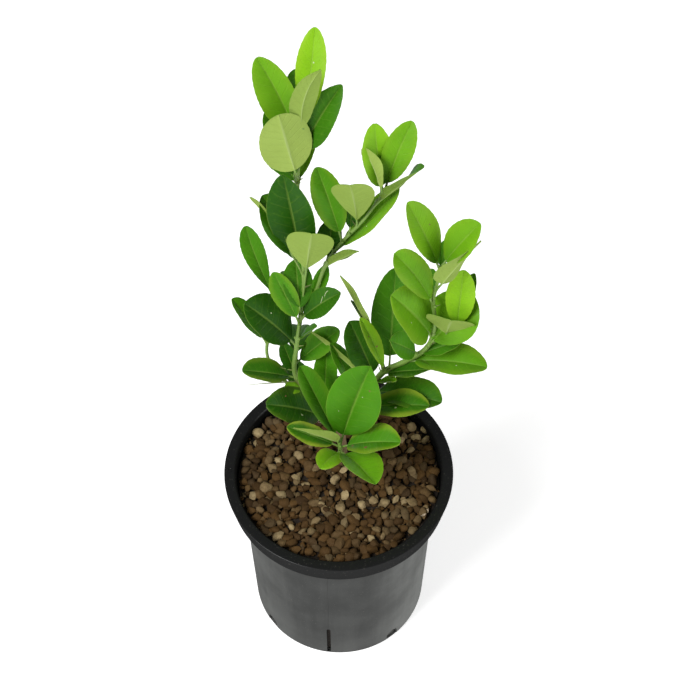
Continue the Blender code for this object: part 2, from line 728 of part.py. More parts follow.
def build():
    clear_scene()
    parts = new_collection("potted_lemon_tree")
    cutters = new_collection("cutters", hidden=True)
    shade(build_pot(parts, cutters))
    shade(build_soil(parts, cutters))
    build_gravel(parts)
    shade(build_trunk(parts))
    for make in (build_tall_shoot, build_second_shoot, build_left_shoot, build_right_shoot, build_basal_shoot):
        make(parts)


build()
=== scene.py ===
"""A young lemon tree in a round nursery pot with a mulch of gravel: its looks.

+Z is up, and the scene is in metres. The values and tables at the top are in millimetres and
degrees, apart from those whose comments name metres or pixels.
"""
import math

import bmesh
import bpy
import numpy as np
from mathutils import Matrix, Vector


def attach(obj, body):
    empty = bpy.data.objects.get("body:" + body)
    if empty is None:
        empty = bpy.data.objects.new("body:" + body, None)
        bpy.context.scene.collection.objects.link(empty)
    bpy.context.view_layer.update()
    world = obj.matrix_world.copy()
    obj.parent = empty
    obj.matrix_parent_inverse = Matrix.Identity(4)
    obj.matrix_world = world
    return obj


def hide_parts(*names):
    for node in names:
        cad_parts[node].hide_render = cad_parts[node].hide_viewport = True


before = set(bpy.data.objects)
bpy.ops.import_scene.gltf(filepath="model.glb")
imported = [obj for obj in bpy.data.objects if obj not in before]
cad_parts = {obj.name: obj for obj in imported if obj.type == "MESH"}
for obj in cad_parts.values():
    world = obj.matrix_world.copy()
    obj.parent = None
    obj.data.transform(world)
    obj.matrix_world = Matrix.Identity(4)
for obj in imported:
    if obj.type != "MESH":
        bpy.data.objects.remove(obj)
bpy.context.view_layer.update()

bl_info = {
    "name": "Potted lemon tree",
    "version": (1, 0, 0),
    "blender": (4, 5, 0),
    "location": "3D View > Sidebar > Lemon Tree",
    "description": "Builds a young lemon tree in a nursery pot, piece by piece",
    "category": "Add Mesh",
}

MM = 0.001

# The pot: its height, the radii of its wall at the foot and under the rim, and where the rim's skirt ends
POT_HEIGHT = 165.0
WALL_FOOT_RADIUS = 66.4
WALL_TOP_RADIUS = 70.2
SKIRT_FOOT = 146.6
# Its section: radius, height and rounding of each corner, from the axis inside to the axis below
POT_SECTION = (
    (0.0, 2.5, 0.0), (64.7, 2.5, 2.5), (68.5, SKIRT_FOOT, 2.0), (73.6, 151.5, 2.0), (74.0, 163.4, 1.0),
    (75.2, POT_HEIGHT, 0.5), (82.5, POT_HEIGHT, 1.0), (79.3, SKIRT_FOOT, 0.6), (77.7, SKIRT_FOOT, 0.5),
    (80.5, 163.0, 0.8), (75.8, 163.0, 0.8), (75.3, 151.5, 2.0), (WALL_TOP_RADIUS, SKIRT_FOOT, 2.0),
    (WALL_FOOT_RADIUS, 0.0, 2.5), (0.0, 0.0, 0.0),
)
# Drainage slots: how many, the first one's angle, the reach of their cutters in and out from the wall's
# foot, where they start, and the width and the top of a tall one and of a low one, which take turns
SLOT_COUNT = 8
SLOT_FIRST_ANGLE = -97.5
SLOT_REACH = 2.6
SLOT_CLEARANCE = 8.0
SLOT_FOOT = 0.8
SLOT_SIZES = ((3.0, 43.0), (10.0, 12.0))
# The mould's seam down the wall, and the small ring on the rim
SEAM_HEIGHTS = (46.0, 144.0)
SEAM_SINK = 0.12
MOULD_RING_PLACE = (-78.4, -0.2, 165.05)
MOULD_RING_RADIUS = 1.5
MOULD_RING_WIDTH = 0.76

# The gravel: the trunk's place in it, its radius, the bed under it, and the heights of the stones' middles
TRUNK_FOOT = (3.0, 20.0)
GRAVEL_RADIUS = 73.3
BED_TOP = 153.6
BED_FOOT = 148.6
BED_FOOT_SHARE = 0.955
PALE_STONE_HEIGHT = 157.0
STONE_HEIGHT = 155.1
CHIP_HEIGHT = 155.2
GRIT_HEIGHT = 155.4
GRIT_COUNT = 700
# How many planes cut a stone, and how near it may come to a pale one, as a share of both sizes, and to
# the trunk
STONE_CUTS = 10
STONE_ROOM = 0.42
TRUNK_CLEARANCE = 3.4
# How far out those planes lie and how much of what lies over one comes off, a stone's width and height as
# shares of its length, half its length as a share of its size, and how far it tips in radians
CUT_REACH = (0.5, 0.82)
CUT_SHARE = 0.93
STONE_WIDTHS = (0.6, 0.9)
STONE_FLATNESS = (0.5, 0.8)
STONE_HALF = 0.63
STONE_TIP = 0.7
# Shares of the mean size: the spacing of stones and of chips, their scatter, and their sizes. Last, the
# sizes of the grit
STONE_SPACING = 0.84
CHIP_SPACING = 0.72
SCATTER = 0.2
STONE_SIZES = (0.72, 1.25)
CHIP_SIZES = (0.6, 0.95)
GRIT_SIZES = (1.4, 3.2)
# How pale the other stones are, from 0 to 1, and the odds of each
PALENESS = (0.0, 0.08, 0.2, 0.4, 0.7)
PALENESS_ODDS = (0.66, 0.18, 0.1, 0.045, 0.015)
# The palest stones: place and size
PALE_STONES = (
    (-8.5, 7.5, 8.0), (3.8, 3.9, 6.5), (-2.7, -4.5, 8.0), (4.4, -17.1, 7.5), (-5.0, -15.0, 6.0),
    (0.7, -27.8, 8.5), (16.4, -25.5, 7.0), (24.5, -22.5, 8.0), (32.5, -24.0, 7.5), (40.0, -21.1, 6.5),
    (52.3, 20.6, 7.5), (57.1, 31.9, 7.0), (63.6, 29.2, 6.5), (-59.7, 36.0, 8.5), (-30.9, -2.5, 6.5),
    (-24.0, -8.5, 6.0), (-44.0, 12.5, 6.5), (22.0, -52.0, 6.5), (-34.0, -43.0, 6.5), (54.5, 40.7, 7.5),
    (64.0, 38.0, 7.0), (46.0, 28.5, 6.5),
)
# Dry scraps: place, length, width, heading and curl
SCRAPS = (
    (62.5, -32.5, 6.5, 1.5, 65.0, 140.0), (60.0, -36.0, 5.0, 1.3, 20.0, 110.0),
    (-14.0, 44.0, 5.0, 1.6, -30.0, 90.0),
)
SCRAP_HEIGHT = 160.6
SCRAP_THICKNESS = 0.24
SCRAP_STEPS = 18
SCRAP_ACROSS = (-1.0, -0.5, 0.0, 0.5, 1.0)

# Routes of the stems from foot to tip
STEM_ROUTES = {
    "trunk": ((3, 20, 118), (3, 20, 158), (2, 21, 178)),
    "left_limb": ((2, 21, 178), (-12, 27, 200), (-22, 32, 217), (-30, 36, 234),
                  (-28, 38, 262), (-25, 42, 287), (-22, 46, 316), (-22, 54, 354),
                  (-24, 62, 390), (-22, 68, 419), (-18, 73, 442)),
    "right_limb": ((2, 21, 178), (12, 26, 200), (22, 30, 221), (32, 30, 243), (48, 28, 259), (60, 25, 278),
                   (64, 25, 302), (62, 28, 323), (64, 30, 339), (66, 32, 354)),
    "second": ((-25, 42, 287), (-18, 43, 299), (-13, 46, 316), (-7, 48, 338), (4, 50, 358), (16, 52, 374),
               (25, 55, 388), (31, 58, 397)),
    "left_shoot": ((-12, 27, 200), (-24, 34, 206), (-36, 41, 214), (-49, 48, 236), (-47, 57, 256),
                   (-42, 64, 282)),
    "centre": ((32, 30, 243), (28, 30, 266), (23, 34, 284)),
    "spur": ((61, 25, 283), (70, 24, 289), (79, 24, 296)),
    "basal": ((3, 20, 163), (3, 12, 168), (2, 4, 178), (1, 0, 190), (1, 0, 204)),
}

# Leaves of each shoot: stem, height of the foot, heading, lift, length with its stalk, width, roll, droop,
# youth from 0 (dark, mature) to 1 (bright, young), and how yellow the margin is. A last item gives what is
# special to one leaf: the share of its stalk, how the blade widens (base) and narrows (tip), its fold,
# waves, bend and twist, and how far it stands out to the front.
LEAVES = {
    "tall_shoot": (
        ("left_limb", 436, 71.5, 62, 63.5, 18.5, 0, 10, 0.95, 0.2, {"bend": 14}),
        ("left_limb", 424, 134, 57, 62.5, 25, 50, 10, 0.72, 0.1, {"base": 0.6, "fold": 20, "bend": 18}),
        ("left_limb", 417, 93, 56, 54, 19, 0, 10, 0.4, 0),
        ("left_limb", 431, -20, 78, 61, 16, 60, 30, 0.5, 0, {"base": 0.55, "tip": 0.75, "fold": 8}),
        ("left_limb", 419, 17, 62, 58, 24, -45, 10, 0.28, 0,
         {"fold": 28, "base": 0.5, "tip": 0.7, "front": -6}),
        ("left_limb", 399, -38, 105, 49.5, 33, 30, 0, 0.6, 0,
         {"base": 0.5, "tip": 0.55, "front": 10, "fold": 8}),
        ("left_limb", 397, 133, 57, 51, 18, 0, 10, 0.4, 0),
        ("left_limb", 396, 60, 50, 38, 10, 0, 10, 0.75, 0.1),
        ("left_limb", 328, 133, 79, 83, 31.5, 50, 0, 0.1, 0),
        ("left_limb", 335, 148, 59, 58, 26, 20, 10, 0.25, 0),
        ("left_limb", 325, 141, 54, 66, 12, -65, 0, 0.5, 0, {"stalk": 0.3, "bend": 32, "front": 10.5}),
        ("left_limb", 303, -35, 83, 76, 30, 58, 0, 0.5, 0,
         {"stalk": 0.5, "base": 0.95, "tip": 0.42, "wave": 0, "fold": 5}),
        ("left_limb", 283, 144, 64, 45, 17, 48, 0, 0.45, 0.2, {"front": 7}),
        ("left_limb", 291, 98, 62, 40, 20, 0, 0, 0.3, 0, {"front": 8}),
        ("left_limb", 287, -18, 54, 49, 19, -45, 10, 0.2, 0),
        ("left_limb", 262, 168, 48, 52, 34, 10, 10, 0.12, 0),
        ("left_limb", 228, 130, 62, 32, 12, 30, 0, 0.15, 0),
        ("left_limb", 243, 15, 41, 43, 19, -20, 0, 0.42, 0.1, {"front": -8}),
        ("left_limb", 268, -20, 56, 26, 10, 0, 0, 0.25, 0),
        ("left_limb", 229, -170, 26, 42, 22, 0, 10, 0.22, 0.25),
        ("left_limb", 219, -170, 25, 16, 9, 30, 0, 0.75, 0.2),
        ("left_limb", 193, -165, 38, 56, 30, 20, 15, 0.1, 0.1),
        ("left_limb", 197, 82, 70, 58, 18, 0, 0, 0.5, 0),
        ("left_limb", 395, 112, -14, 38, 20, 0, 30, 0.4, 0),
        ("left_limb", 303, 102, -18, 42, 20, 0, 30, 0.3, 0),
        ("left_limb", 250, 84, -18, 40, 19, 0, 30, 0.2, 0),
        ("left_limb", 214, 118, -8, 36, 18, 0, 30, 0.2, 0),
    ),
    "second_shoot": (
        ("second", 335, -10, 42, 30, 15, 60, 0, 0.4, 0),
        ("second", 301, 40, 66, 34, 10, -45, 0, 0.5, 0),
        ("second", 394, 120, 72, 50, 21, 5, 10, 0.82, 0.1, {"bend": -35, "base": 0.55}),
        ("second", 393, 126, 58, 33, 16, -85, 0, 0.66, 0, {"bend": 35, "front": 10, "fold": 8}),
        ("second", 395, 44, 63, 51, 19, -30, 10, 0.72, 0.1, {"front": 4}),
        ("second", 387, -1, 50, 45, 19, 85, 0, 0.3, 0, {"twist": -70}),
        ("second", 348, 14, 47, 64, 19, 0, -10, 0.7, 0.2, {"bend": 20}),
        ("second", 357, 130, 64, 55.5, 21, 25, 10, 0.58, 0.2),
        ("second", 370, -143, 82, 43, 27, -45, 0, 0.5, 0,
         {"base": 1.1, "tip": 0.4, "fold": 5, "wave": 0.3}),
        ("second", 364, 80, 62, 31, 11, 0, 0, 0.05, 0),
        ("second", 340, 75, 60, 29, 17, 0, 0, 0.1, 0),
    ),
    "left_shoot": (
        ("left_shoot", 280, 137, 60, 60, 15.5, 20, 10, 0.42, 0, {"base": 1.2, "bend": -35}),
        ("left_shoot", 246, 155, 56, 45, 16, 0, 0, 0.45, 0),
    ),
    "right_shoot": (
        ("right_limb", 203, -12, 20, 54, 24, 0, 20, 0.3, 0.6, {"front": 14}),
        ("right_limb", 219, -22, 15, 57, 29, 0, 20, 0.25, 0.1, {"front": -6}),
        ("right_limb", 230, -45, 46, 28, 9, 0, 0, 0.7, 0.3),
        ("right_limb", 226, 146, 26, 57, 12, -70, 0, 0.6, 0, {"front": 14}),
        ("right_limb", 208, 150, 66, 60, 17, 0, 0, 0.5, 0),
        ("right_limb", 240, -26, 36, 44, 18, 0, 0, 0.2, 0.1),
        ("centre", 278, 143, 58, 54, 13, -66, 0, 0.5, 0.1),
        ("right_limb", 232, 143, 65, 55, 26, 20, 0, 0.2, 0),
        ("centre", 274, 140, 52, 36, 9, -40, 0, 0.35, 0),
        ("right_limb", 247, 84, 57, 73, 30, 0, 10, 0.32, 0, {"base": 0.55}),
        ("centre", 245, 150, 67, 50, 12, 8, 0, 0.85, 0.3, {"front": 10, "stalk": 0.08}),
        ("right_limb", 288, 174, 56, 51, 39, 18, 10, 0.72, 0.2, {"front": 5, "base": 0.45, "tip": 0.6}),
        ("right_limb", 268, -157, 50, 35, 19, 38, 0, 0.5, 0, {"front": 3}),
        ("right_limb", 256, -15, 13, 59, 27, 0, 20, 0.66, 0.2),
        ("right_limb", 266, 5, 24, 32, 16, 0, 0, 0.5, 0, {"front": 5}),
        ("right_limb", 292, 122, 60, 34, 14, 0, 0, 0.5, 0),
        ("spur", 295, 80, 60, 44, 20, 0, 10, 0.97, 0.1, {"front": 9}),
        ("spur", 290, -75, 74, 29, 32, 25, 0, 0.5, 0,
         {"stalk": 0.2, "base": 0.95, "tip": 0.42, "wave": 0.4, "fold": 6, "front": 2}),
        ("right_limb", 277, 25, 50, 50, 36, -30, 0, 0.72, 0, {"front": 8}),
        ("spur", 293, 52, 60, 47, 13, 0, 0, 0.5, 0, {"front": -4}),
        ("right_limb", 332, 15, 56, 48, 20, 95, 0, 0.5, 0,
         {"base": 0.35, "tip": 1.2, "twist": -45, "front": 15}),
        ("right_limb", 318, 178, 63, 60, 21, 45, 10, 0.72, 0.2, {"fold": 24, "tip": 0.4, "front": 2}),
        ("right_limb", 349, 151, 64, 58, 23, 10, 10, 0.8, 0.1),
        ("right_limb", 351, 60, 72, 23, 9, 0, 0, 0.4, 0, {"front": -4}),
        ("right_limb", 353, 3, 61, 46, 23, -28, 10, 0.75, 0.1),
        ("right_limb", 322, 103, -18, 38, 20, 0, 30, 0.4, 0),
        ("right_limb", 262, 108, -10, 44, 21, 0, 30, 0.3, 0),
        ("right_limb", 210, 96, -8, 40, 20, 0, 30, 0.3, 0),
    ),
    "basal_shoot": (
        ("basal", 198, 133, 54, 67, 19, 10, 0, 0.38, 0.1, {"fold": 28, "tip": 0.45}),
        ("basal", 195, 43, 70, 79, 41, -38, 0, 0.5, 0, {"fold": 24, "bend": -30}),
        ("basal", 201, -165, 44, 45, 14, -70, 0, 0.5, 0,
         {"base": 0.45, "tip": 1.4, "front": 6, "stalk": 0.06}),
        ("basal", 195, -177, 38, 46, 16, 15, 0, 0.3, 0.8),
        ("basal", 187, -125, 22, 27, 18, 0, 30, 0.78, 0.3),
        ("basal", 187, -54, 13, 43, 31, 20, 30, 0.68, 0.1, {"fold": 25}),
        ("basal", 194, -19, 32, 52, 27, 0, 20, 0.52, 0.5),
    ),
}

# Stems of each piece: stem, lowest and highest height, first and last radius
STEMS = {
    "trunk": (("trunk", 118, 178, 3.8, 3.0), ("left_limb", 178, 188, 2.9, 2.5),
              ("right_limb", 178, 188, 2.9, 2.5), ("basal", 163, 169, 1.7, 1.6)),
    "tall_shoot": (("left_limb", 187, 262, 2.5, 1.5), ("left_limb", 261.5, 442, 1.5, 0.8),
                   ("second", 287, 299, 1.5, 1.4), ("left_shoot", 200, 207, 1.6, 1.5)),
    "second_shoot": (("second", 298.5, 397, 1.4, 0.8),),
    "left_shoot": (("left_shoot", 206.8, 282, 1.4, 0.9),),
    "right_shoot": (("right_limb", 187, 279, 2.5, 1.5), ("right_limb", 278.5, 354, 1.5, 0.9),
                    ("centre", 243, 284, 1.5, 1.0), ("spur", 283.5, 295.5, 1.3, 1.1)),
    "basal_shoot": (("basal", 168.5, 204, 1.6, 1.2),),
}
LEAF_SLOTS = {
    "tall_shoot": "deep_green_leaf",
    "second_shoot": "mid_green_leaf",
    "left_shoot": "olive_green_leaf",
    "right_shoot": "bright_green_leaf",
    "basal_shoot": "fresh_green_leaf",
}
# Thorns, and one dry twig at the end: stem, height, heading, lift, length
THORNS = (
    ("left_limb", 236, 175, 15, 9.0), ("left_limb", 262, -30, 40, 6.0), ("left_limb", 316, -20, 45, 6.5),
    ("left_limb", 350, 30, 50, 5.5), ("left_limb", 399, -20, 50, 4.5), ("left_shoot", 222, 170, 30, 6.0),
    ("second", 348, -60, 40, 5.0), ("second", 370, 150, 45, 4.5), ("right_limb", 240, 120, 50, 6.0),
    ("right_limb", 279, -10, 45, 6.0), ("right_limb", 318, -20, 45, 5.0), ("right_limb", 345, 20, 50, 4.5),
    ("basal", 191, -100, 40, 4.0), ("left_limb", 226, -172, 5, 38.0),
)
# Marks on leaves: shoot, leaf in its table, place along the blade, place across it, diameter
BROWN_MARKS = (
    ("basal_shoot", 6, 0.17, 0.35, 2.3), ("basal_shoot", 6, 0.47, 0.5, 2.6),
    ("basal_shoot", 3, 0.3, 0.5, 1.6), ("basal_shoot", 1, 0.74, 0.4, 1.4),
    ("right_shoot", 10, 0.4, 0.2, 1.4), ("right_shoot", 10, 0.66, -0.3, 1.1),
    ("tall_shoot", 21, 0.7, 0.5, 1.2), ("right_shoot", 22, 0.55, 0.5, 0.9),
)
PALE_MARKS = (
    ("tall_shoot", 0, 0.62, 0.12, 1.0), ("tall_shoot", 21, 0.42, -0.35, 1.8),
    ("right_shoot", 0, 0.5, 0.25, 1.6),
    ("basal_shoot", 1, 0.35, -0.5, 0.9), ("basal_shoot", 1, 0.6, 0.2, 0.8),
    ("tall_shoot", 15, 0.55, 0.3, 0.9),
    ("right_shoot", 11, 0.5, -0.4, 0.9), ("right_shoot", 13, 0.6, 0.3, 0.9),
    ("second_shoot", 6, 0.4, 0.3, 0.8),
)
# Short pale streaks on a leaf: shoot, leaf, and points of place along and across
TRAILS = (
    ("tall_shoot", 14, ((0.66, -0.3), (0.74, -0.5), (0.8, -0.62))),
    ("tall_shoot", 14, ((0.5, -0.05), (0.57, -0.2), (0.62, -0.34))),
)

# The form of a leaf: the stalk's share of its length, how the blade widens and narrows, its usual fold, the
# share of the blade that is made before its sharp tip, and its least half width
STALK_SHARE = 0.14
SHAPE_RISE = 0.72
SHAPE_FALL = 0.6
USUAL_FOLD = 16
BLADE_END = 0.996
NARROWEST = 0.8
# What each leaf draws for itself: a change of its fold, its arch, and how many waves its margin has and how
# high they are, as a share of its width
FOLD_CHANGE = (-4, 5)
ARCH = (0, 12)
WAVE_COUNT = (1.2, 2.4)
WAVE_SHARE = (0.015, 0.035)
# Teeth along the margin, quilting between the veins, and the groove, keel and width of the midrib
TOOTH_PITCH = 4.2
TOOTH_HEIGHT = 0.22
QUILT_HEIGHT = 0.2
GROOVE_DEPTH = 0.05
KEEL_DEPTH = 0.5
RIB_SHARE = 0.055
# Side veins: pairs of them, how far they run forward on their way out, and the shift between both sides
VEIN_PAIRS = 9
VEIN_LEAN = 1.5
VEIN_SHIFT = 0.22
# Leaves that stand out to the front move along this line, towards the camera
FRONT = (0.0, -0.6, 0.8)

# Points of the meshes
LINE_STEPS = 120
BLADE_STEPS = 64
ACROSS = (-1.0, -0.93, -0.8, -0.62, -0.44, -0.27, -0.13, -0.05, 0.0,
          0.05, 0.13, 0.27, 0.44, 0.62, 0.8, 0.93, 1.0)
ROUTE_GAP = 0.4
STEM_SIDES = 16
# A direction that no stem follows. The first point of each ring lies square to it and to the stem
TUBE_SEAM = (0.31, 0.95, 0.05)
# The domed ends of a rod: how far each reaches and its own radius, as shares of the rod's radius there
FOOT_DOME = (0.35, 0.55)
TIP_DOME = (0.5, 0.5)
# A stalk's radius, how much thicker its foot is and how far up that reaches, and its radius at the blade
STALK_RADIUS = 0.72
STALK_SWELL = 0.45
STALK_SWELL_REACH = 2.2
STALK_END_RADIUS = 0.5
# How much thicker a stem is at the foot of a leaf, as a share, how far that reaches, and how uneven it is
NODE_SWELL = 0.16
NODE_REACH = 2.5
STEM_UNEVENNESS = 0.035
# Radii along a bud and a thorn
BUD_RADII = (0.9, 1.05, 0.9, 0.55, 0.2)
THORN_RADII = (0.62, 0.55, 0.46, 0.34, 0.2, 0.05)
# Rings of a mark on a leaf: how proud each stands, and its share of the mark's size
MARK_RINGS = ((0.16, 0.45), (0.16, 1.0), (0.34, 0.45), (0.24, 1.0))
MARK_SIDES = 10
TRAIL_PROUD = 0.22
TRAIL_RADIUS = 0.2

# Where bark ends, and how far below it begins to fade
BARK_TOP = 262
BARK_FADE = 60
# How woody stalks, buds and thorns are, as the first of three numbers
STALK_LOOK = (0.0, 0.0, 0.0)
BUD_LOOK = (0.05, 0.0, 0.0)
THORN_LOOK = (0.45, 0.0, 0.0)
# Colours inside the finishes, as linear red, green and blue
WHITE = (1.0, 1.0, 1.0)
SCUFF = (0.16, 0.15, 0.13)
WET_SOIL = (0.006, 0.004, 0.0025)
DRY_SOIL = (0.03, 0.019, 0.011)
SOIL_FIBRE = (0.08, 0.055, 0.03)
WARM_STONE = (0.13, 0.07, 0.022)
COOL_STONE = (0.065, 0.044, 0.022)
STONE_STAIN = (0.05, 0.028, 0.012)
STONE_SPECK = (0.22, 0.15, 0.07)
SCRAP_SHADE = (0.30, 0.22, 0.14)
SCRAP_LIGHT = (0.58, 0.50, 0.38)
BLOTCH_SHADE = (0.62, 0.72, 0.5)
FOOT_SHADE = (0.5, 0.62, 0.5)
UPPER_FLECK = (0.20, 0.40, 0.02)
UPPER_VEIN = (0.30, 0.50, 0.06)
UPPER_RIB = (0.34, 0.50, 0.09)
UPPER_EDGE = (0.30, 0.44, 0.05)
OLD_UNDERSIDE = (0.17, 0.29, 0.035)
LOWER_BLOTCH = (0.27, 0.37, 0.06)
LOWER_VEIN = (0.26, 0.37, 0.07)
LOWER_NET = (0.22, 0.32, 0.06)
LOWER_RIB = (0.42, 0.52, 0.20)
LEAF_GLOW = (0.34, 0.62, 0.02)
BARK_SHADE = (0.45, 0.42, 0.4)
BARK_CRACK = (0.42, 0.33, 0.21)
STEM_LIGHT = (0.19, 0.31, 0.055)
STEM_SPOT = (0.36, 0.40, 0.18)
FLOOR_SHADE = (0.86, 0.86, 0.86)
FLOOR_LIGHT = (0.88, 0.88, 0.88)
# Marks: dark tone, pale tone and roughness
BROWN_MARK = ((0.10, 0.045, 0.015), (0.30, 0.17, 0.06), 0.8)
PALE_MARK = ((0.36, 0.44, 0.20), (0.60, 0.64, 0.42), 0.7)
# The share of shine on the plastic and of light through a leaf, and the top of the wall's dust and painted
# sheen in metres
PLASTIC_SHINE = 0.014
LEAF_LIGHT_THROUGH = 0.2
DUST_AND_SHEEN_TOP = 0.146

# The stage in metres, and the photograph's frame in pixels
FLOOR_SIZE = 8.0
KEY_PLACE = (-1.1, -0.8, 1.6)
FILL_PLACE = (1.4, -0.7, 0.7)
SOFTBOX_SIZE = 0.9
LIGHT_AIM = (0.0, 0.0, 0.22)
SENSOR_WIDTH = 36.0
PHOTO_PIXELS = 675.0
RIM_MIDDLE_PIXEL = (338.7, 468.8)
RIM_MIDDLE = (0.0, 0.0, POT_HEIGHT * MM)


# Values a user would change

def colour_value(name, description, default):
    return bpy.props.FloatVectorProperty(
        name=name, description=description, default=default, subtype="COLOR", size=3)


def number_value(name, description, default, **kind):
    return bpy.props.FloatProperty(name=name, description=description, default=default, **kind)


class LemonPotSettings(bpy.types.PropertyGroup):
    sides: bpy.props.IntProperty(name="Sides", description="Facets round the pot", default=144, min=48)
    plastic: colour_value("Plastic", "Colour of the clean plastic", (0.0075, 0.0078, 0.0078))
    # The wall's grey: dust, and partly a painted reflection of the bright floor
    dust_and_sheen: colour_value("Dust", "Colour of the dust on the wall", (0.15, 0.154, 0.148))
    seam_width: number_value("Seam width", "Width of the mould seam", 0.0007, unit="LENGTH")


class LemonGravelSettings(bpy.types.PropertyGroup):
    stone_size: number_value("Stone size", "Mean size of the upper stones", 0.0078, unit="LENGTH")
    dark: colour_value("Dark stone", "Colour of the darkest stones", (0.022, 0.0115, 0.0038))
    brown: colour_value("Brown stone", "Colour of most stones", (0.084, 0.043, 0.0115))
    pale: colour_value("Pale stone", "Colour of the palest stones", (0.38, 0.29, 0.15))


class LemonPlantSettings(bpy.types.PropertyGroup):
    mature: colour_value("Mature leaf", "Upper face of an old leaf", (0.017, 0.088, 0.003))
    middle: colour_value("Middle leaf", "Upper face of a leaf of middle age", (0.075, 0.27, 0.006))
    young: colour_value("Young leaf", "Upper face of a young leaf", (0.27, 0.56, 0.014))
    underside: colour_value("Underside", "Lower face of a leaf", (0.34, 0.46, 0.1))
    yellow: colour_value("Yellowed margin", "Colour of a yellowed margin", (0.48, 0.56, 0.05))
    stem: colour_value("Green stem", "Colour of the young stems", (0.13, 0.235, 0.038))
    bark: colour_value("Bark", "Colour of the older bark", (0.25, 0.17, 0.085))
    leaf_thickness: number_value("Leaf thickness", "Thickness of a blade", 0.00042, unit="LENGTH")


class LemonStageSettings(bpy.types.PropertyGroup):
    camera_pitch: number_value(
        "Camera pitch", "How far the camera looks down", math.radians(53.1), subtype="ANGLE")
    camera_roll: number_value("Camera roll", "Roll of the camera", math.radians(-0.5), subtype="ANGLE")
    camera_distance: number_value(
        "Camera distance", "From the camera to the middle of the rim", 1.0791, unit="LENGTH")
    focal_length: number_value("Focal length", "In millimetres on a 36 mm sensor", 80.0, unit="CAMERA")
    sky: number_value("Sky", "Strength of the even white light", 0.33)
    key_power: number_value("Key light", "Power of the main softbox in watts", 38.0, unit="POWER")
    fill_power: number_value("Fill light", "Power of the side softbox in watts", 13.0, unit="POWER")


# Material tools

class Shade:
    """A number or colour inside a finish. Sums and products with it add the nodes that work them out."""

    def __init__(self, finish, socket):
        self.finish = finish
        self.socket = socket

    def __add__(self, other):
        return self.finish.math("ADD", self, other)

    def __sub__(self, other):
        return self.finish.math("SUBTRACT", self, other)

    def __mul__(self, other):
        return self.finish.math("MULTIPLY", self, other)

    def step(self, low, high, at_low=0.0, at_high=1.0):
        """Goes smoothly from one value to another while this number goes from low to high."""
        inputs = {"Value": self, "From Min": low, "From Max": high, "To Min": at_low, "To Max": at_high}
        return self.finish.node("ShaderNodeMapRange", inputs, interpolation_type="SMOOTHSTEP")


class Finish:
    """A node material while it is being put together."""

    def __init__(self, name):
        self.material = bpy.data.materials.new(name)
        self.material.use_nodes = True
        self.tree = self.material.node_tree
        self.tree.nodes.clear()

    def put(self, socket, value):
        """Sets an input, or links it to what another node gives."""
        if isinstance(value, Shade):
            self.tree.links.new(value.socket, socket)
        elif socket.type == "RGBA":
            socket.default_value = (*value, 1.0)
        else:
            socket.default_value = value

    def node(self, kind, inputs=(), output=0, **settings):
        """Adds a node and gives one of its outputs."""
        made = self.tree.nodes.new(kind)
        for name, value in settings.items():
            setattr(made, name, value)
        for key, value in dict(inputs).items():
            self.put(made.inputs[key], value)
        return Shade(self, made.outputs[output])

    def math(self, operation, first, second=0.0, clamp=False):
        return self.node("ShaderNodeMath", {0: first, 1: second}, operation=operation, use_clamp=clamp)

    def mix(self, share, first, second, blend="MIX"):
        inputs = {0: share, 6: first, 7: second}
        return self.node("ShaderNodeMix", inputs, 2, data_type="RGBA", blend_type=blend)

    def coats(self, colour, *coats):
        """A colour under further coats, each with its share, its colour and, at need, its way of mixing."""
        for share, over, *blend in coats:
            colour = self.mix(share, colour, over, *blend)
        return colour

    def place(self):
        return self.node("ShaderNodeTexCoord", output="Object")

    def axes(self, vector):
        """The three numbers of a vector."""
        x = self.node("ShaderNodeSeparateXYZ", {0: vector})
        return [Shade(self, output) for output in x.socket.node.outputs]

    def attribute(self, name):
        return self.axes(self.node("ShaderNodeAttribute", output="Vector", attribute_name=name))

    def noise(self, scale, detail=3.0, roughness=0.55, stretch=None):
        where = self.place()
        if stretch:
            where = self.node("ShaderNodeMapping", {"Vector": where, "Scale": stretch})
        inputs = {"Vector": where, "Scale": scale, "Detail": detail, "Roughness": roughness}
        return self.node("ShaderNodeTexNoise", inputs)

    def grains(self, scale, feature="F1"):
        return self.node("ShaderNodeTexVoronoi", {"Vector": self.place(), "Scale": scale}, feature=feature)

    def bump(self, height, strength, distance):
        return self.node("ShaderNodeBump", {"Height": height, "Strength": strength, "Distance": distance})

    def principled(self, colour, roughness, **inputs):
        """The main shader. A further input is named with _ for each space."""
        inputs = {name.replace("_", " "): value for name, value in inputs.items()}
        inputs |= {"Base Color": colour, "Roughness": roughness}
        return self.node("ShaderNodeBsdfPrincipled", inputs)

    def blend(self, share, first, second):
        return self.node("ShaderNodeMixShader", {0: share, 1: first, 2: second})

    def finish(self, surface):
        output = self.tree.nodes.new("ShaderNodeOutputMaterial")
        self.put(output.inputs["Surface"], surface)
        return self.material


# Finishes

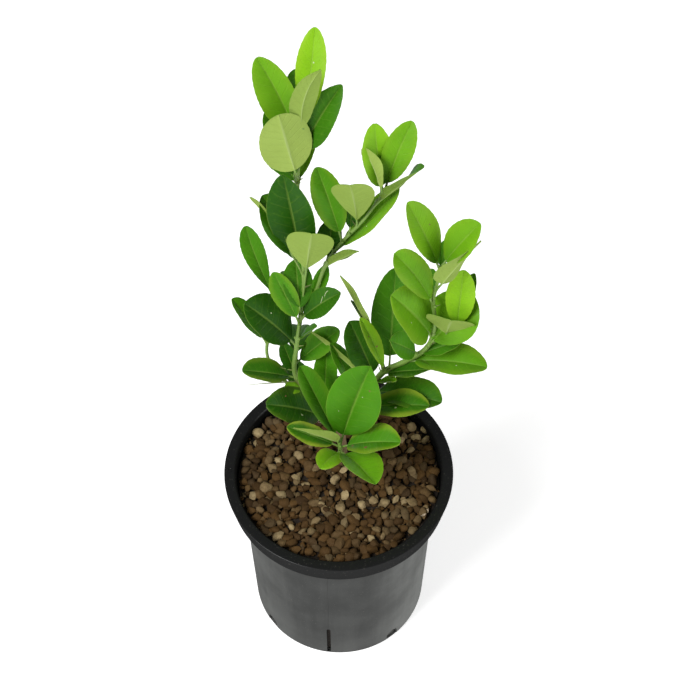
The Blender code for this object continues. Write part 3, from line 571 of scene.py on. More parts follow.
def plastic_finish(pot):
    """Satin black plastic: clean on the rim; on the wall dusty, with a painted sheen brighter towards the
    sides and a painted shadow under the rim, and a little scuffed.
    """
    made = Finish("black_pot_plastic_look")
    x, _, height = made.axes(made.place())
    # Just under the rim's skirt the wall's grey drops to 0.7 of its share: a painted shadow of the rim's
    # overhang
    wall = height.step(DUST_AND_SHEEN_TOP, DUST_AND_SHEEN_TOP - 0.0015) * height.step(DUST_AND_SHEEN_TOP, DUST_AND_SHEEN_TOP - 0.021, 0.7, 1.0)
    foot = height.step(0.05, 0.0)
    cloud = made.noise(28.0, 4.0)
    streaks = made.noise(60.0, 3.0, 0.6, (1.0, 1.0, 0.06))
    smudge = (cloud * 0.6 + streaks * 0.4).step(0.36, 0.66, 0.62, 1.0)
    # Painted sheen: the wall's grey is brighter towards both sides, most on the right, as a painted
    # reflection of the bright surroundings
    sideways = x.step(0.012, 0.064, 0.36, 1.0) + x.step(-0.03, -0.066, 0.0, 0.25)
    dust_and_painted_light = made.math("ADD", wall * smudge * sideways, foot * 0.15, clamp=True)
    specks = made.noise(900.0, 2.0).step(0.66, 0.74)
    colour = made.coats(pot.plastic, (dust_and_painted_light, pot.dust_and_sheen), (specks * 0.35, SCUFF))
    roughness = cloud.step(0.3, 0.7, 0.3, 0.42) + dust_and_painted_light * 0.25
    normal = made.bump(made.noise(1400.0, 2.0) + streaks * 0.6, 0.22, 0.0002)
    body = made.principled(colour, roughness, Normal=normal, Specular_IOR_Level=0.0)
    shine = made.node("ShaderNodeBsdfGlossy", {"Color": WHITE, "Roughness": 0.28, "Normal": normal})
    return made.finish(made.blend(PLASTIC_SHINE, body, shine))


def soil_finish():
    """Dark, damp potting mix with lighter fibres."""
    made = Finish("potting_mix_look")
    clods = made.noise(260.0, 6.0, 0.7)
    fibres = made.noise(700.0, 3.0, 0.6, (1.0, 0.2, 1.0)).step(0.6, 0.7)
    colour = made.coats(WET_SOIL, (clods, DRY_SOIL), (fibres * 0.4, SOIL_FIBRE))
    return made.finish(made.principled(colour, 0.95, Normal=made.bump(clods, 0.8, 0.0015)))


def gravel_finish(gravel):
    """Stones in browns and tans, each with its own tone, mottled and finely pitted."""
    made = Finish("brown_gravel_look")
    tone, paleness, own = made.attribute("stone_look")
    mottle = made.noise(420.0, 4.0, 0.65)
    fine = made.noise(1900.0, 3.0, 0.6)
    colour = made.coats(
        gravel.dark,
        (tone, gravel.brown),
        (own.step(0.55, 0.9) * 0.4, WARM_STONE),
        (own.step(0.3, 0.05) * 0.5, COOL_STONE),
        (paleness, gravel.pale),
        (mottle.step(0.35, 0.75, 0.0, 0.5), STONE_STAIN),
        (fine.step(0.58, 0.72, 0.0, 0.3), STONE_SPECK))
    roughness = mottle.step(0.3, 0.7, 0.62, 0.9)
    normal = made.bump(mottle + fine * 0.5, 0.6, 0.0006)
    return made.finish(made.principled(colour, roughness, Normal=normal, Specular_IOR_Level=0.12))


def scrap_finish():
    """Dry, papery and almost white plant scraps."""
    made = Finish("dry_scrap_look")
    fibre = made.noise(500.0, 3.0, 0.6, (1.0, 1.0, 0.3))
    colour = made.mix(fibre, SCRAP_SHADE, SCRAP_LIGHT)
    return made.finish(made.principled(colour, 0.8, Normal=made.bump(fibre, 0.4, 0.0003)))


def leaf_finish(slot, plant):
    """Citrus leaf: glossy green above with a pale midrib and side veins, matt and pale below."""
    made = Finish(slot + "_look")
    along, across, under = made.attribute("leaf_place")
    youth, yellowing, _ = made.attribute("leaf_look")
    out = made.math("ABSOLUTE", across)

    rib = out.step(0.075, 0.02) * along.step(1.02, 0.55, 0.35, 1.0)
    wobble = made.noise(90.0, 2.0) * 0.35
    shift = made.math("SIGN", across) * VEIN_SHIFT
    phase = along * VEIN_PAIRS - out * VEIN_LEAN + (wobble + shift)
    comb = made.math("ABSOLUTE", made.math("FRACT", phase) - 0.5)
    vein = comb.step(0.1, 0.02) * out.step(0.98, 0.6)
    net = made.grains(950.0, "DISTANCE_TO_EDGE").step(0.0, 0.14, 1.0, 0.0)

    blotch = made.noise(75.0)
    fleck = made.noise(420.0)
    margin = (out + (blotch - 0.5) * 0.5).step(0.45, 0.95)
    upper = made.coats(
        plant.middle,
        (youth.step(0.5, 0.05), plant.mature),
        (youth.step(0.5, 1.0), plant.young),
        (blotch.step(0.35, 0.7, 0.0, 0.35), BLOTCH_SHADE, "MULTIPLY"),
        (fleck.step(0.5, 0.8, 0.0, 0.12), UPPER_FLECK),
        (along.step(0.62, 0.0, 0.0, 0.6), FOOT_SHADE, "MULTIPLY"),
        (vein * 0.064, UPPER_VEIN),
        (rib * 0.3, UPPER_RIB),
        (margin * yellowing * 0.7, plant.yellow),
        (out.step(0.955, 1.0, 0.0, 0.3), UPPER_EDGE))
    lower = made.coats(
        OLD_UNDERSIDE,
        (youth.step(0.3, 0.65), plant.underside),
        (blotch.step(0.3, 0.75, 0.0, 0.25), LOWER_BLOTCH),
        (vein * 0.18, LOWER_VEIN),
        (net * 0.1, LOWER_NET),
        (rib * 0.5, LOWER_RIB))
    side = under.step(0.35, 0.65)
    colour = made.mix(side, upper, lower)

    roughness = fleck.step(0.3, 0.75, 0.4, 0.52) + side * 0.26
    relief = vein * -0.8 + rib * -0.4 + fleck * 0.5 + net * -0.12
    normal = made.bump(relief, 0.35, 0.0004)
    skin = made.principled(colour, roughness, Normal=normal, Specular_IOR_Level=0.13)
    inputs = {"Color": made.mix(0.5, colour, LEAF_GLOW), "Normal": normal}
    glow = made.node("ShaderNodeBsdfTranslucent", inputs)
    return made.finish(made.blend(LEAF_LIGHT_THROUGH, skin, glow))


def stem_finish(name, plant):
    """Bark on old wood, passing to smooth green on young stems and stalks."""
    made = Finish(name)
    wood, _, _ = made.attribute("stem_look")
    grain = made.noise(500.0, 4.0, 0.6, (1.0, 1.0, 0.12))
    cracks = made.noise(900.0, 4.0, 0.7, (1.0, 1.0, 0.25))
    spots = made.grains(420.0).step(0.16, 0.09)
    bark = made.coats(
        made.mix(1.0, plant.bark, BARK_SHADE, "MULTIPLY"),
        (grain, plant.bark),
        (cracks.step(0.55, 0.7, 0.0, 0.5), BARK_CRACK))
    young = made.coats(plant.stem, (grain, STEM_LIGHT), (spots * 0.25, STEM_SPOT))
    share = (wood + (cracks - 0.5) * 0.7).step(0.3, 0.7)
    roughness = wood.step(0.0, 1.0, 0.5, 0.85)
    normal = made.bump(cracks * wood + grain * 0.3, 0.7, 0.0005)
    return made.finish(made.principled(made.mix(share, young, bark), roughness, Normal=normal))


def mark_finish(name, dark, pale, roughness):
    """Small dry marks."""
    made = Finish(name)
    tone = made.noise(900.0, 3.0, 0.6)
    colour = made.mix(tone, dark, pale)
    return made.finish(made.principled(colour, roughness, Normal=made.bump(tone, 0.3, 0.0002)))


def floor_finish():
    """Plain pale studio floor."""
    made = Finish("studio_floor")
    colour = made.mix(made.noise(3.0, 2.0), FLOOR_SHADE, FLOOR_LIGHT)
    return made.finish(made.principled(colour, 0.9, Emission_Color=WHITE, Emission_Strength=0.5))


# Mesh tools

def new_object(name, data):
    thing = bpy.data.objects.new(name, data)
    bpy.context.scene.collection.objects.link(thing)
    return thing


def add_piece(name, mesh, finish, replaced=(), sharp=40.0):
    """Puts a mesh in the scene as a piece of the object, with its finish and body, and hides the CAD parts
    it replaces.
    """
    mesh.name = name
    mesh.materials.clear()
    mesh.materials.append(finish)
    mesh.shade_smooth()
    mesh.set_sharp_from_angle(angle=math.radians(sharp))
    piece = new_object(name, mesh)
    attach(piece, "root")
    if replaced:
        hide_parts(*replaced)


class Parcel:
    """Many small forms in millimetres that become one mesh, with named vectors on its points."""

    def __init__(self, *names):
        self.points = []
        self.faces = []
        self.count = 0
        self.vectors = {name: [] for name in names}

    def add(self, points, faces, **vectors):
        self.points.append(np.asarray(points, float) * MM)
        self.faces += [tuple(index + self.count for index in face) for face in faces]
        self.count += len(points)
        for name, rows in self.vectors.items():
            rows.append(np.broadcast_to(np.asarray(vectors[name], float), (len(points), 3)))

    def mesh(self):
        mesh = bpy.data.meshes.new("parcel")
        mesh.from_pydata(np.vstack(self.points).tolist(), [], self.faces)
        for name, rows in self.vectors.items():
            layer = mesh.attributes.new(name, "FLOAT_VECTOR", "POINT")
            layer.data.foreach_set("vector", np.vstack(rows).ravel())
        mesh.update()
        return mesh


def circle(count):
    return [2 * math.pi * k / count for k in range(count)]


def direction(heading, lift=0.0):
    """The unit vector of a heading and a lift in degrees."""
    turn, rise = math.radians(heading), math.radians(lift)
    return np.array([math.cos(rise) * math.cos(turn), math.cos(rise) * math.sin(turn), math.sin(rise)])


def band(low, high, count):
    """Faces between two rings of points, given the first point of each."""
    return [(low + k, low + (k + 1) % count, high + (k + 1) % count, high + k) for k in range(count)]


def turned_over(faces):
    return [(face[0], *reversed(face[1:])) for face in faces]


def sheet_faces(steps, wide):
    """Faces of a closed sheet: an upper and a lower grid of points, joined all round."""
    below = (steps + 1) * wide
    faces = []
    for i in range(steps):
        left = i * wide
        right = left + wide - 1
        for a in range(left, right):
            faces.append((a, a + 1, a + wide + 1, a + wide))
            faces.append((below + a, below + a + wide, below + a + wide + 1, below + a + 1))
        faces.append((left, left + wide, below + left + wide, below + left))
        faces.append((right, below + right, below + right + wide, right + wide))
    for j in range(wide - 1):
        tip = steps * wide + j
        faces.append((j, below + j, below + j + 1, j + 1))
        faces.append((tip, tip + 1, below + tip + 1, below + tip))
    return faces


def smooth_route(points, steps=8):
    """A smooth curve through the points, with a fixed count of steps between each pair."""
    p = np.array(points, float)
    p = np.vstack([2 * p[0] - p[1], p, 2 * p[-1] - p[-2]])
    out = []
    for before, here, there, beyond in zip(p, p[1:], p[2:], p[3:]):
        for k in range(steps):
            t = k / steps
            linear = (there - before) * t
            square = (2 * before - 5 * here + 4 * there - beyond) * t * t
            cube = (3 * here - before - 3 * there + beyond) * t ** 3
            out.append(0.5 * (2 * here + linear + square + cube))
    out.append(p[-2])
    return np.array(out)


ROUTES = {name: smooth_route(points) for name, points in STEM_ROUTES.items()}


def point_at(stem, height):
    route = ROUTES[stem]
    return np.array([np.interp(height, route[:, 2], route[:, axis]) for axis in range(3)])


def route_between(stem, low, high):
    inside = [p for p in ROUTES[stem] if low + ROUTE_GAP < p[2] < high - ROUTE_GAP]
    return np.array([point_at(stem, low), *inside, point_at(stem, high)])


def tube_form(route, radii, sides=8, swell=0.0, seed=0):
    """Points and faces of a round rod along a route, with domed ends."""
    draw = np.random.RandomState(seed)
    radii = np.broadcast_to(radii, len(route))
    ahead = np.gradient(route, axis=0)
    ahead /= np.linalg.norm(ahead, axis=1)[:, None]
    turn = np.cross(ahead[0], TUBE_SEAM)
    turn /= np.linalg.norm(turn)
    angles = np.linspace(0, 2 * math.pi, sides, endpoint=False)
    foot, foot_size = FOOT_DOME
    tip, tip_size = TIP_DOME
    centres = [route[0] - ahead[0] * radii[0] * foot, *route, route[-1] + ahead[-1] * radii[-1] * tip]
    sizes = [radii[0] * foot_size, *radii, radii[-1] * tip_size]
    rings = []
    for centre, size, way in zip(centres, sizes, [ahead[0], *ahead, ahead[-1]]):
        turn = turn - way * np.dot(turn, way)
        turn /= np.linalg.norm(turn)
        other = np.cross(way, turn)
        rough = 1 + swell * draw.uniform(-1, 1, sides)
        ring = np.outer(np.cos(angles) * rough, turn) + np.outer(np.sin(angles) * rough, other)
        rings.append(centre + ring * size)
    last = (len(rings) - 1) * sides
    faces = [face for low in range(0, last, sides) for face in band(low, low + sides, sides)]
    faces += [tuple(reversed(range(sides))), tuple(range(last, last + sides))]
    return np.vstack(rings), faces


# Leaves

def half_width(share, width, rise=SHAPE_RISE, fall=SHAPE_FALL):
    """Half the blade's width at a share of its length: narrow at the stalk, widest past the middle."""
    peak = rise / (rise + fall)
    full = peak ** rise * (1 - peak) ** fall
    return 0.5 * width * share ** rise * (1 - share) ** fall / full


class LeafForm:
    """One leaf: its centre line, and the place of any point on its blade, in millimetres."""

    def __init__(self, values, seed):
        stem, height, heading, lift, length, width, roll, droop, youth, yellowing, *rest = values
        extra = rest[0] if rest else {}
        draw = np.random.RandomState(seed)
        self.width = width
        self.length = length
        self.stalk = extra.get("stalk", STALK_SHARE)
        self.rise = extra.get("base", SHAPE_RISE)
        self.fall = extra.get("tip", SHAPE_FALL)
        self.look = (youth, yellowing, draw.uniform())
        self.fold = math.radians(extra.get("fold", USUAL_FOLD) + draw.uniform(*FOLD_CHANGE))
        arch = draw.uniform(*ARCH)
        self.waves = draw.uniform(*WAVE_COUNT)
        self.phases = draw.uniform(0, 2 * math.pi, 2)
        self.wave_height = width * draw.uniform(*WAVE_SHARE) * extra.get("wave", 1.0)
        self.shares = np.linspace(0, 1, LINE_STEPS + 1)
        turn = np.radians(heading + extra.get("bend", 0) * (self.shares - 0.3))
        rise = np.radians(lift + (droop + arch) * (0.5 - self.shares))
        self.ahead = np.stack([np.cos(rise) * np.cos(turn), np.cos(rise) * np.sin(turn), np.sin(rise)], 1)
        self.side = np.stack([np.sin(turn), -np.cos(turn), 0 * turn], 1)
        middle = 0.5 * (self.ahead[1:] + self.ahead[:-1]) * length / LINE_STEPS
        self.line = np.vstack([[0, 0, 0], np.cumsum(middle, 0)]) + point_at(stem, height)
        reach = np.clip(self.shares / self.stalk, 0, 1)
        self.line += np.outer(reach ** 2 * (3 - 2 * reach) * extra.get("front", 0), FRONT)
        self.spin = np.radians(roll + extra.get("twist", 0) * self.shares)

    def read(self, rows, share):
        return np.array([np.interp(share, self.shares, rows[:, axis]) for axis in range(3)])

    def frame(self, share):
        """Centre, direction across and direction up at a share of the whole length."""
        ahead = self.read(self.ahead, share)
        ahead /= np.linalg.norm(ahead)
        side = self.read(self.side, share)
        normal = np.cross(side, ahead)
        spin = np.interp(share, self.shares, self.spin)
        across = math.cos(spin) * side + math.sin(spin) * normal
        up = math.cos(spin) * normal - math.sin(spin) * side
        return self.read(self.line, share), across, up

    def section(self, along, across):
        """Points of the blade's middle surface at one place along it, and the direction up there."""
        centre, sideways, up = self.frame(self.stalk + (1 - self.stalk) * along)
        across = np.asarray(across, float)
        out = np.abs(across)
        half = max(half_width(along, self.width, self.rise, self.fall), NARROWEST)
        teeth = self.length * (1 - STALK_SHARE) / TOOTH_PITCH
        half = half + TOOTH_HEIGHT * abs(math.sin(math.pi * teeth * along)) * min(1.0, half / 4)
        rise = half * math.sin(self.fold) * (1.22 * out - 0.22 * out ** 2)
        wave_phase = np.where(across < 0, self.phases[0], self.phases[1])
        wave = self.wave_height * out ** 1.6 * np.sin(2 * math.pi * self.waves * along + wave_phase)
        lean = VEIN_LEAN * out + VEIN_SHIFT * np.sign(across)
        comb = np.abs(np.mod(along * VEIN_PAIRS - lean, 1.0) - 0.5)
        quilt = QUILT_HEIGHT * np.clip(comb / 0.25, 0, 1)
        quilt = quilt * np.clip(out * 6, 0, 1) * np.clip((1.02 - out) * 4, 0, 1) * min(1.0, half / 6)
        x = half * math.cos(self.fold) * across
        return centre + np.outer(x, sideways) + np.outer(rise + wave + quilt, up), up

    def surface_point(self, along, across, proud):
        points, up = self.section(along, [across])
        return points[0] + up * proud


def leaf_blade(form, thickness):
    """Points, faces and places of one closed blade."""
    wide = len(ACROSS)
    shares = BLADE_END * (0.5 - 0.5 * np.cos(np.linspace(0, math.pi, BLADE_STEPS + 1)))
    across = np.array(ACROSS)
    rib = np.exp(-(across / RIB_SHARE) ** 2)
    thick = thickness / 2 * (1 - 0.35 * np.abs(across) ** 4)
    upper = []
    lower = []
    for share in shares:
        points, up = form.section(share, across)
        upper.append(points + np.outer(thick - GROOVE_DEPTH * rib * (1 - 0.5 * share), up))
        lower.append(points - np.outer(thick + KEEL_DEPTH * rib * (1 - 0.6 * share), up))
    points = np.vstack(upper + lower)
    place = np.zeros((len(points), 3))
    place[:, 0] = np.tile(np.repeat(shares, wide), 2)
    place[:, 1] = np.tile(across, 2 * len(shares))
    place[len(points) // 2:, 2] = 1.0
    return points, sheet_faces(BLADE_STEPS, wide), place


def leaf_forms(shoot):
    seed = 100 * (1 + sorted(LEAVES).index(shoot))
    return [LeafForm(values, seed + index) for index, values in enumerate(LEAVES[shoot])]


def stalk_form(form):
    """The stalk: round, swollen at its foot, thinner under the blade."""
    rings = 9
    route = np.array([form.frame(share)[0] for share in np.linspace(0.0, form.stalk * 1.12, rings)])
    up = np.linspace(0, 1, rings) * form.length * form.stalk
    radii = STALK_RADIUS + STALK_SWELL * np.exp(-(up / STALK_SWELL_REACH) ** 2)
    radii[-1] = STALK_END_RADIUS
    return tube_form(route, radii)


def bud_form(form):
    """A small bud in the angle above a stalk."""
    centre, _, up = form.frame(0.02)
    reach = np.linspace(0, 2.4, len(BUD_RADII))
    return tube_form(centre + up * 1.4 + np.outer(reach, form.ahead[0] * 0.5 + up * 0.86), BUD_RADII)


def thorn_form(stem, height, heading, lift, length):
    reach = np.linspace(0.5, length + 1.5, len(THORN_RADII))
    return tube_form(point_at(stem, height) + np.outer(reach, direction(heading, lift)), THORN_RADII)


# The pot

def rounded_section(corners, steps=4):
    """The pot's section in millimetres, with an arc at each rounded corner."""
    out = []
    for index, (radius, height, round_by) in enumerate(corners):
        here = np.array([radius, height])
        if round_by <= 0:
            out.append(here)
            continue
        before = np.array(corners[index - 1][:2]) - here
        after = np.array(corners[index + 1][:2]) - here
        reach = min(round_by, 0.45 * np.linalg.norm(before), 0.45 * np.linalg.norm(after))
        start = here + before / np.linalg.norm(before) * reach
        end = here + after / np.linalg.norm(after) * reach
        for k in range(steps + 1):
            t = k / steps
            out.append((1 - t) ** 2 * start + 2 * t * (1 - t) * here + t * t * end)
    return out


def long_edges_split(points, limit=9.0):
    """More points on the section's long straight runs, for even facets."""
    out = [points[0]]
    for before, after in zip(points[:-1], points[1:]):
        count = max(1, math.ceil(np.linalg.norm(after - before) / limit))
        out += [before + (after - before) * k / count for k in range(1, count + 1)]
    return out


def applied_mesh(thing):
    """The evaluated mesh of an object with modifiers. The object is removed."""
    bpy.context.view_layer.update()
    graph = bpy.context.evaluated_depsgraph_get()
    mesh = bpy.data.meshes.new_from_object(thing.evaluated_get(graph))
    bpy.data.objects.remove(thing, do_unlink=True)
    return mesh


def slot_blocks():
    """Round-topped blocks that open the drainage slots, tall narrow ones and low arched ones in turn."""
    bm = bmesh.new()
    for index in range(SLOT_COUNT):
        width, height = (size * MM for size in SLOT_SIZES[index % 2])
        outline = [(SLOT_FOOT * MM, -width / 2), (SLOT_FOOT * MM, width / 2)]
        for k in range(9):
            angle = math.pi * k / 8
            outline.append((height - width / 2 + width / 2 * math.sin(angle), width / 2 * math.cos(angle)))
        angle = math.radians(SLOT_FIRST_ANGLE + index * 360.0 / SLOT_COUNT)
        way = Vector((math.cos(angle), math.sin(angle), 0))
        side = Vector((-math.sin(angle), math.cos(angle), 0))
        rings = []
        for radius in (WALL_FOOT_RADIUS - SLOT_REACH, WALL_FOOT_RADIUS + SLOT_CLEARANCE):
            place = way * (radius * MM)
            rings.append([bm.verts.new(place + side * y + Vector((0, 0, z))) for z, y in outline])
        corners = rings[0] + rings[1]
        for face in band(0, len(outline), len(outline)):
            bm.faces.new([corners[k] for k in face])
        bm.faces.new(rings[0])
        bm.faces.new(list(reversed(rings[1])))
    bmesh.ops.recalc_face_normals(bm, faces=bm.faces)
    mesh = bpy.data.meshes.new("slot_blocks")
    bm.to_mesh(mesh)
    bm.free()
    return new_object("slot_blocks", mesh)


def build_pot(settings):
    """The turned shell with its slots, and the mould's seam and ring."""
    section = long_edges_split(rounded_section(POT_SECTION))
    mesh = bpy.data.meshes.new("pot_section")
    points = [(radius * MM, 0.0, height * MM) for radius, height in section]
    mesh.from_pydata(points, [(i, i + 1) for i in range(len(points) - 1)], [])
    thing = new_object("pot_turning", mesh)
    turn = thing.modifiers.new("turn", "SCREW")
    turn.axis = "Z"
    turn.steps = settings.sides
    turn.render_steps = settings.sides
    turn.use_merge_vertices = True
    turn.merge_threshold = 0.00001
    turn.use_normal_flip = True
    blocks = slot_blocks()
    cut = thing.modifiers.new("slots", "BOOLEAN")
    cut.operation = "DIFFERENCE"
    cut.object = blocks
    shell = applied_mesh(thing)
    bpy.data.objects.remove(blocks, do_unlink=True)
    finish = plastic_finish(settings)
    add_piece("pot_shell", shell, finish, ("pot",), 32.0)

    parcel = Parcel()
    angle = math.radians(SLOT_FIRST_ANGLE)
    heights = np.linspace(*SEAM_HEIGHTS, 24)
    radii = WALL_FOOT_RADIUS + (WALL_TOP_RADIUS - WALL_FOOT_RADIUS) * heights / SKIRT_FOOT - SEAM_SINK
    seam = np.stack([radii * math.cos(angle), radii * math.sin(angle), heights], 1)
    parcel.add(*tube_form(seam, settings.seam_width / MM / 2))
    x, y, z = MOULD_RING_PLACE
    turns = np.linspace(0, 2 * math.pi, 25)
    ring = np.stack([x + MOULD_RING_RADIUS * np.cos(turns), y + MOULD_RING_RADIUS * np.sin(turns),
                     np.full(len(turns), z)], 1)
    parcel.add(*tube_form(ring, MOULD_RING_WIDTH / 2))
    add_piece("pot_seam", parcel.mesh(), finish)


# The gravel and what lies on it

def unit_ball(level):
    """Points and faces of a round ball."""
    bm = bmesh.new()
    bmesh.ops.create_icosphere(bm, subdivisions=level, radius=1.0)
    points = np.array([vert.co[:] for vert in bm.verts])
    faces = [tuple(vert.index for vert in face.verts) for face in bm.faces]
    bm.free()
    return points, faces


def stone_points(ball, draw, size):
    """One broken, worn stone: a ball cut by planes, flattened and turned."""
    points = ball.copy()
    for _ in range(STONE_CUTS):
        normal = draw.normal(size=3)
        normal /= np.linalg.norm(normal)
        over = points @ normal - draw.uniform(*CUT_REACH)
        points -= np.outer(np.clip(over, 0, None), normal) * CUT_SHARE
    shares = np.array([1.0, draw.uniform(*STONE_WIDTHS), draw.uniform(*STONE_FLATNESS)])
    points *= shares * size * STONE_HALF
    a = draw.uniform(0, 2 * math.pi)
    b, c = draw.uniform(-STONE_TIP, STONE_TIP, 2)
    turn = Matrix.Rotation(a, 3, "Z") @ Matrix.Rotation(b, 3, "X") @ Matrix.Rotation(c, 3, "Y")
    return points @ np.array(turn).T


def honeycomb(spacing, draw, scatter, reach):
    """Places on an uneven honeycomb grid inside a circle."""
    out = []
    rows = int(reach / spacing * 1.2) + 1
    for row in range(-rows, rows + 1):
        for column in range(-rows, rows + 1):
            x = spacing * (column + 0.5 * (row % 2)) + draw.uniform(-scatter, scatter)
            y = spacing * 0.866 * row + draw.uniform(-scatter, scatter)
            if math.hypot(x, y) < reach:
                out.append((x, y))
    return out


def clear_of_trunk(x, y, size):
    return math.hypot(x - TRUNK_FOOT[0], y - TRUNK_FOOT[1]) > TRUNK_CLEARANCE + STONE_ROOM * size


def clear_of_pale_stones(x, y, size):
    return all(math.hypot(x - a, y - b) >= STONE_ROOM * (size + c) for a, b, c in PALE_STONES)


def build_gravel(settings):
    """Two layers of stones and the grit between them."""
    stone = unit_ball(2)
    chip = unit_ball(1)
    draw = np.random.RandomState(5)
    mean = settings.stone_size / MM
    upper = Parcel("stone_look")
    lower = Parcel("stone_look")
    grit = Parcel("stone_look")

    def drop(parcel, form, x, y, size, height, spread=None, pale=False):
        """Adds one stone, with its tone, its paleness and a number of its own."""
        ball, faces = form
        points = stone_points(ball, draw, size)
        if spread:
            height += draw.uniform(*spread)
        paleness = draw.uniform(0.55, 1.0) if pale else draw.choice(PALENESS, p=PALENESS_ODDS)
        look = (draw.uniform(0.1, 1.0), paleness, draw.uniform())
        parcel.add(points + (x, y, height), faces, stone_look=look)

    for x, y, size in PALE_STONES:
        drop(upper, stone, x, y, size, PALE_STONE_HEIGHT, pale=True)
    for x, y in honeycomb(mean * STONE_SPACING, draw, mean * SCATTER, GRAVEL_RADIUS - 2.5):
        size = mean * draw.uniform(*STONE_SIZES)
        spread = math.hypot(x, y)
        room = GRAVEL_RADIUS - 0.5 * size
        if spread > room:
            x, y = (value * room / spread for value in (x, y))
        if clear_of_trunk(x, y, size) and clear_of_pale_stones(x, y, size):
            drop(upper, stone, x, y, size, STONE_HEIGHT + 0.2 * size, (-0.9, 1.0))
    for x, y in honeycomb(mean * CHIP_SPACING, draw, mean * SCATTER, GRAVEL_RADIUS - 1.5):
        size = mean * draw.uniform(*CHIP_SIZES)
        if clear_of_trunk(x, y, size) and math.hypot(x, y) < GRAVEL_RADIUS - 0.5 * size:
            drop(lower, chip, x, y, size, CHIP_HEIGHT, (-0.7, 1.0))
    for _ in range(GRIT_COUNT):
        spread = GRAVEL_RADIUS * math.sqrt(draw.uniform(0, 0.985))
        turn = draw.uniform(0, 2 * math.pi)
        x, y = spread * math.cos(turn), spread * math.sin(turn)
        size = draw.uniform(*GRIT_SIZES)
        if clear_of_trunk(x, y, size):
            drop(grit, chip, x, y, size, GRIT_HEIGHT, (-1.2, 1.7))

    finish = gravel_finish(settings)
    for name, parcel in (("upper_stones", upper), ("lower_stones", lower), ("grit", grit)):
        add_piece("gravel_" + name, parcel.mesh(), finish, ("gravel",), 44.0)


def build_gravel_bed():
    """Fine dark grit under the stones, a low uneven disc."""
    draw = np.random.RandomState(9)
    sides, rings = 72, 12
    radii = np.linspace(0, GRAVEL_RADIUS - 0.6, rings + 1)[1:]
    points = [(0, 0, BED_TOP)]
    for radius in radii:
        for turn in circle(sides):
            height = BED_TOP + draw.uniform(-0.5, 0.5)
            points.append((radius * math.cos(turn), radius * math.sin(turn), height))
    foot = radii[-1] * BED_FOOT_SHARE
    points += [(foot * math.cos(turn), foot * math.sin(turn), BED_FOOT) for turn in circle(sides)]
    points.append((0, 0, BED_FOOT))
    last = 1 + rings * sides
    faces = [(0, 1 + k, 1 + (k + 1) % sides) for k in range(sides)]
    for near in range(1, last, sides):
        faces += turned_over(band(near, near + sides, sides))
    faces += [(last + sides, last + (k + 1) % sides, last + k) for k in range(sides)]
    parcel = Parcel()
    parcel.add(points, faces)
    add_piece("gravel_bed", parcel.mesh(), soil_finish(), ("gravel",))


def scrap_form(x, y, length, width, heading, curl):
    """One thin curled strip."""
    way = direction(heading)
    up = np.array([0, 0, 1.0])
    side = np.cross(up, way)
    place = np.array([x, y, SCRAP_HEIGHT])
    upper = []
    lower = []
    for k in range(SCRAP_STEPS + 1):
        t = k / SCRAP_STEPS
        bend = math.radians(curl) * (t - 0.5)
        ahead = math.cos(bend) * way + math.sin(bend) * up
        lift = math.cos(bend) * up - math.sin(bend) * way
        place = place + ahead * length / SCRAP_STEPS
        half = 0.5 * width * (0.25 + math.sin(math.pi * (0.06 + 0.88 * t)) ** 0.7)
        for across in SCRAP_ACROSS:
            point = place - way * length / 2 + side * half * across + lift * 0.9 * abs(across) ** 1.5
            upper.append(point + lift * SCRAP_THICKNESS / 2)
            lower.append(point - lift * SCRAP_THICKNESS / 2)
    return upper + lower, turned_over(sheet_faces(SCRAP_STEPS, len(SCRAP_ACROSS)))


def build_scraps():
    """Dry curled scraps lying on the gravel."""
    parcel = Parcel()
    for values in SCRAPS:
        parcel.add(*scrap_form(*values))
    add_piece("dry_scraps", parcel.mesh(), scrap_finish())


# The plant

def wood_share(height, radius):
    """How far a stem has turned to bark: all of it near the gravel, none at the tips."""
    return float(np.clip((BARK_TOP - height) / BARK_FADE, 0, 1) * np.clip((radius - 0.9) / 1.2, 0.35, 1))


def add_stems(name, parcel):
    """The stems of one piece, a little thicker at the foot of each leaf."""
    for order, (stem, low, high, first, last) in enumerate(STEMS[name]):
        route = route_between(stem, low, high)
        even = np.linspace(first, last, len(route))
        feet = [values[1] for group in LEAVES.values() for values in group if values[0] == stem]
        nearest = np.array([min([abs(place[2] - foot) for foot in feet], default=99.0) for place in route])
        radii = even * (1 + NODE_SWELL * np.exp(-(nearest / NODE_REACH) ** 2))
        points, faces = tube_form(route, radii, STEM_SIDES, STEM_UNEVENNESS, order)
        sizes = np.repeat([first, *even, last], STEM_SIDES)
        look = [(wood_share(height, size), 0.0, 0.0) for height, size in zip(points[:, 2], sizes)]
        parcel.add(points, faces, stem_look=look)


def build_wood(plant):
    """The trunk and the stubs of the limbs."""
    parcel = Parcel("stem_look")
    add_stems("trunk", parcel)
    add_piece("trunk_wood", parcel.mesh(), stem_finish("bark_look", plant), ("trunk",), 60.0)


def build_shoots(plant):
    """The leaves of each shoot, and its stems with stalks, buds and thorns."""
    stem_look = stem_finish("stem_and_stalk_look", plant)
    for shoot, slot in LEAF_SLOTS.items():
        blades = Parcel("leaf_place", "leaf_look")
        wood = Parcel("stem_look")
        add_stems(shoot, wood)
        for form in leaf_forms(shoot):
            points, faces, place = leaf_blade(form, plant.leaf_thickness / MM)
            blades.add(points, faces, leaf_place=place, leaf_look=form.look)
            wood.add(*stalk_form(form), stem_look=STALK_LOOK)
            wood.add(*bud_form(form), stem_look=BUD_LOOK)
        own = {row[0] for row in STEMS[shoot]}
        for thorn in THORNS:
            if thorn[0] in own:
                wood.add(*thorn_form(*thorn), stem_look=THORN_LOOK)
        add_piece(shoot + "_leaves", blades.mesh(), leaf_finish(slot, plant), (shoot,), 50.0)
        add_piece(shoot + "_stems", wood.mesh(), stem_look, (shoot,), 60.0)


